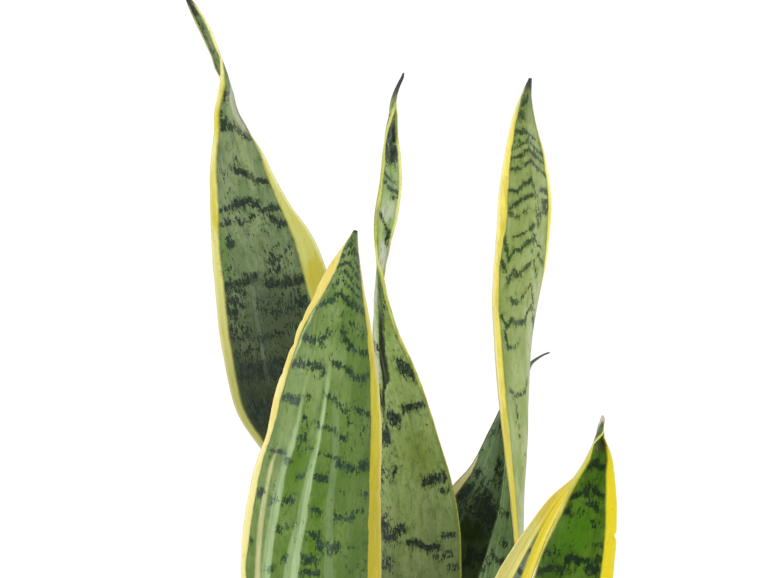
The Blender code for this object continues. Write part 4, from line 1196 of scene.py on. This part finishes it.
LOOKS["leaf_leaning_right"] = dict(
    GREY_GREEN,
    green=(114, 138, 96), light=(134, 158, 118), mid=(88, 116, 60), mid_dark=(58, 82, 44),
    dark=(28, 42, 34), shade_tint=(24, 38, 8), vivid_tint=(46, 80, 10), dull_and_sheen_tint=(86, 100, 78),
    left_tint=(255, 246, 196), right_tint=(104, 126, 76), left_gold=(255, 224, 132),
    right_gold=(96, 116, 66), margin_highlight=(255, 244, 200), fleck_and_shade_tint=(250, 214, 120),
    rim=(124, 154, 98), smoke=(52, 70, 56), bands_from=232, tip_mm=5,
    speckle=(0, 0.05, 270, 0.12, 330, 0.06),
    shade=(0, 0.1, 200, 0.5, 245, 0.7, 258, 0.6, 272, 0.35, 286, 0, 330, 0),
    left_margin=(0, 3, 230, 2.6, 262, 3.2, 272, 3.9, 280, 3, 286, 1.5, 292, 0.5, 296, -0.5, 330,
        -1),
    right_margin=(0, 1, 200, -1, 330, -1),
    bands=(
        (2, 0.6, -0.7, 307, 0, 306), (2, 0.7, 0.1, 310, 0.8, 309),
        (3, 0.75, -0.65, 286, -0.3, 284), (3.5, 0.85, 0.5, 288, 0.85, 286),
        (4.5, 1.05, -0.6, 270, -0.35, 272), (6, 1.2, 0.1, 268, 0.9, 266),
        (4, 0.8, -0.3, 262, 0, 262), (4.5, 1.15, 0.4, 243, 1, 244), (4, 0.7, -0.1, 278, 0.3, 276),
    ),
    vivid=((0.3, 255, 0.7, 7, 1), (0.5, 276, 0.3, 4, 0.4)),
    dull_and_sheen=((0, 312, 1.2, 7, 0.7),),
    painted_light_streaks=(
        ((124, 142, 104), 0.4, 250, -0.2, 0.6, 318, -0.1, 0.4),
        ((118, 136, 98), 0.4, 256, 0.25, 0.8, 290, 0.12, 0.6, 315, 0.05, 0.5),
    ),
    flutes=((60, 300, 0, 0, 5, -0.6),),
)
LOOKS["leaf_front_right"] = dict(
    GREY_GREEN,
    green=(62, 94, 10), light=(84, 116, 30), mid=(48, 82, 4), mid_dark=(34, 60, 6),
    dark=(14, 34, 14), shade_tint=(26, 44, 8), vivid_tint=(66, 112, 4), dull_and_sheen_tint=(150, 156, 140),
    left_tint=(216, 207, 92), right_tint=(204, 197, 72), left_gold=(222, 202, 26),
    right_gold=(180, 171, 38), margin_highlight=(232, 230, 168), fleck_and_shade_tint=(164, 164, 40),
    rim=(226, 218, 160), smoke=(30, 54, 22), line_tint=(62, 84, 6), tip=(206, 180, 166),
    stain=(66, 60, 22), soft=0.7, edge_highlight=0.3, gloss=0.14, stipple=0.6, line=0.2, border=0.7,
    tufts=0.3, bands_from=212, tip_mm=5.5,
    left_deep=(0, 0.9, 310, 0.9),
    right_deep=(0, -0.3, 270, 0.2, 290, -0.6, 310, -0.8),
    speckle=(0, 0.04, 280, 0.04, 310, 0),
    shade=(0, 0.1, 220, 0.1, 260, 0, 292, 0.15, 299, 0.4, 304, 0.3, 310, 0),
    left_margin=(0, 4, 200, 6.5, 240, 6.9, 255, 6, 265, 5.8, 272, 5.2, 280, 4.1, 286, 2.9, 291,
        1.6, 296, 0.8, 300, 0.3, 310, 0),
    right_margin=(0, 2, 225, 0.7, 245, 1, 258, 1.7, 270, 2.3, 285, 2.5, 293, 1.9, 299, 1.1, 302,
        0.1, 310, 0),
    bands=(
        (1.4, 1.2, -0.4, 283.5, -0.1, 284, 0.12, 287, 0.3, 285, 0.55, 283),
        (1.9, 1.25, -0.04, 272, 0.2, 273.5), (1.3, 1.25, -0.42, 270, -0.04, 271.5),
        (1.5, 1.2, 0.2, 272, 0.35, 269.5, 0.85, 267), (2, 1, -0.28, 264, 0.12, 264.5),
        (1.6, 1.1, 0.7, 260, 0.86, 260.5), (1, 0.8, -0.3, 254, -0.15, 255.5),
        (2.8, 1.15, -0.57, 240, -0.45, 239), (2.2, 1.3, -0.55, 235, -0.25, 234.5),
        (1.2, 1.2, -0.25, 237, 0.25, 237.5), (2.2, 0.85, -0.05, 235, 0.05, 235),
        (1.3, 1.25, 0.25, 236, 0.35, 231.5, 0.65, 229, 0.95, 226.5),
        (1.4, 1.2, -0.6, 224, -0.2, 225, 0.3, 219), (2.5, 0.65, 0.5, 238, 0.9, 236),
        (1.3, 0.7, -0.4, 256, -0.1, 257), (1.2, 0.65, -0.55, 247, -0.3, 246),
        (1.4, 0.6, 0.2, 262, 0.6, 259),
    ),
    vivid=((0.2, 252, 0.6, 16, 0.7), (0, 278, 0.5, 5, 0.5), (0.5, 245, 0.4, 14, 0.6)),
    dull_and_sheen=((0.6, 301, 0.8, 4.5, 0.35), (0, 266.5, 0.25, 1.8, 0.45)),
    painted_light_streaks=(((210, 212, 204), 1, 296.5, 0, 1, 300, 0, 1.7, 304, 0, 1.5, 318, 0, 1),),
    brown=((-0.5, 293.5, 0.55, 4, 0.9), (0, 297, 0.6, 2.2, 0.6), (-0.5, 300, 0.5, 3, 0.5)),
    nicks=((252, -1, 1.3, 1.2), (240, -1, 0.3, 4)),
)
LOOKS["leaf_narrow_right"] = dict(
    GREY_GREEN,
    green=(122, 142, 108), light=(142, 158, 126), mid=(98, 122, 84), dark=(62, 80, 76),
    shade_tint=(60, 80, 50), left_tint=(255, 246, 148), right_tint=(240, 230, 104),
    left_gold=(250, 226, 92), right_gold=(236, 216, 34), margin_highlight=(255, 252, 198),
    fleck_and_shade_tint=(232, 208, 84), rim=(226, 184, 130), tip=(176, 160, 70), edge_highlight=0.1, cork=0.4,
    line=0, border=0.5, bands_from=218, tip_mm=2,
    left_deep=(0, 0.6, 215, 0.4, 235, -0.5, 255, -0.3, 270, 0.6, 294, 0.5),
    right_deep=(0, 0.4, 235, 0.3, 250, 1, 294, 0.8),
    speckle=(0, -0.05, 300, -0.05),
    left_margin=(0, 4, 150, 6, 200, 9, 232, 8.6, 240, 8, 250, 6.8, 256, 6.4, 270, 6, 294, 4),
    right_margin=(0, 3, 150, 4, 200, 5, 240, 5.1, 250, 4.9, 256, 5.2, 270, 5, 294, 4),
    shade_right=(0, 0, 255, 0, 262, 0.35, 294, 0.5),
    bands=((2.2, 1, -0.05, 234, 0.5, 233), (1.3, 0.8, 0, 245, 0.5, 244)),
)
LOOKS["leaf_thread_tip"] = dict(
    GREY_GREEN,
    green=(116, 144, 90), light=(136, 164, 110), mid=(96, 128, 64), mid_dark=(76, 104, 52),
    dark=(44, 64, 42), left_tint=(98, 120, 70), right_tint=(98, 120, 70), left_gold=(92, 112, 60),
    right_gold=(92, 112, 60), margin_highlight=(140, 156, 100), fleck_and_shade_tint=(90, 110, 50),
    rim=(136, 164, 84), tip=(104, 101, 95), edge_highlight=0.2, cork=0.5, tufts=0.15, bands_from=236,
    tip_mm=22,
    speckle=(0, 0.04, 400, 0.04),
    shade=(0, 0.1, 180, 0.2, 240, 0.05, 300, 0, 380, 0),
    left_margin=(0, 2, 200, 0.5, 230, -0.5, 380, -1),
    right_margin=(0, 2, 200, 0.5, 230, -0.5, 380, -1),
    bands=((1.6, 0.8, -0.3, 262, 0.3, 260), (1.4, 0.7, 0, 246, 0.5, 245)),
)


# Stage

def build_stage():
    bm = bmesh.new()
    bmesh.ops.create_circle(bm, cap_ends=True, segments=128, radius=FLOOR_RADIUS)
    mesh = new_mesh("floor", bm)
    f = Finish("pale floor")
    x, y, z = f.place()
    cloud = f.noise(f.vector(x, y, z), 3.0, 2.0, 0.5)
    f.set("Base Color", f.mix(cloud * 0.25, linear(236, 235, 233), linear(228, 227, 225)))
    f.set("Roughness", 0.7)
    away = f.add("VectorMath", {"operation": "LENGTH"}, {0: f.vector(x, y, 0.0)}, 1)
    f.set("Alpha", 1.0 - f.ramp(away, *FLOOR_FADE))
    mesh.materials.append(f.material)
    floor = link_object("floor", mesh)


def add_light(name, place, width, height, power):
    data = bpy.data.lights.new(name, "AREA")
    data.shape = "RECTANGLE"
    data.size = width
    data.size_y = height
    data.energy = power
    light = link_object(name, data)
    light.location = place
    aim = Vector(LIGHT_AIM) - Vector(place)
    light.rotation_euler = aim.to_track_quat("-Z", "Y").to_euler()


def build_lights():
    world = bpy.data.worlds.new("studio")
    bpy.context.scene.world = world
    world.use_nodes = True
    tree = world.node_tree
    back = tree.nodes["Background"]
    back.inputs["Color"].default_value = (1.0, 1.0, 1.0, 1.0)
    paths = tree.nodes.new("ShaderNodeLightPath")
    strength = tree.nodes.new("ShaderNodeMapRange")
    strength.inputs["To Min"].default_value = BACKDROP_LIGHT
    strength.inputs["To Max"].default_value = BACKDROP_SEEN
    tree.links.new(paths.outputs["Is Camera Ray"], strength.inputs["Value"])
    tree.links.new(strength.outputs[0], back.inputs["Strength"])
    add_light("left panel", (-1.6, -1.15, 0.95), 0.8, 1.5, 32.0)
    add_light("right panel", (1.6, -0.6, 0.85), 0.9, 1.5, 25.0)
    add_light("high back panel", (0.1, 0.9, 1.9), 1.6, 1.0, 16.0)


def build_camera():
    camera = bpy.data.cameras.new("camera")
    camera.sensor_width = SENSOR_WIDTH
    camera.sensor_fit = "HORIZONTAL"
    camera.lens = LENS
    camera.clip_end = 50.0
    holder = link_object("camera", camera)
    holder.location = CAMERA_PLACE
    holder.rotation_euler = (math.radians(90.0), 0.0, 0.0)
    bpy.context.scene.camera = holder


build_camera()
build_lights()
build_stage()
for number, (leaf_node, leaf_stations) in enumerate(STATIONS.items()):
    build_leaf(leaf_node, leaf_stations, LOOKS[leaf_node], number + 1.0)
build_pot()
build_soil()
feet = [(rows[1][0] * MM, rows[1][1] * MM, 0.4 * rows[1][3] * MM) for rows in STATIONS.values()]
scatter("peat_crumbs", 620, 11, (0.0007, 0.0021), 0.8, crumb_finish(), feet, 1)
scatter("bark_chips", 150, 23, (0.0016, 0.0042), 0.38, bark_finish(), feet)
scatter("perlite_bits", 70, 37, (0.0010, 0.0021), 0.85, perlite_finish(), feet)

bpy.context.scene.view_settings.view_transform = "Standard"
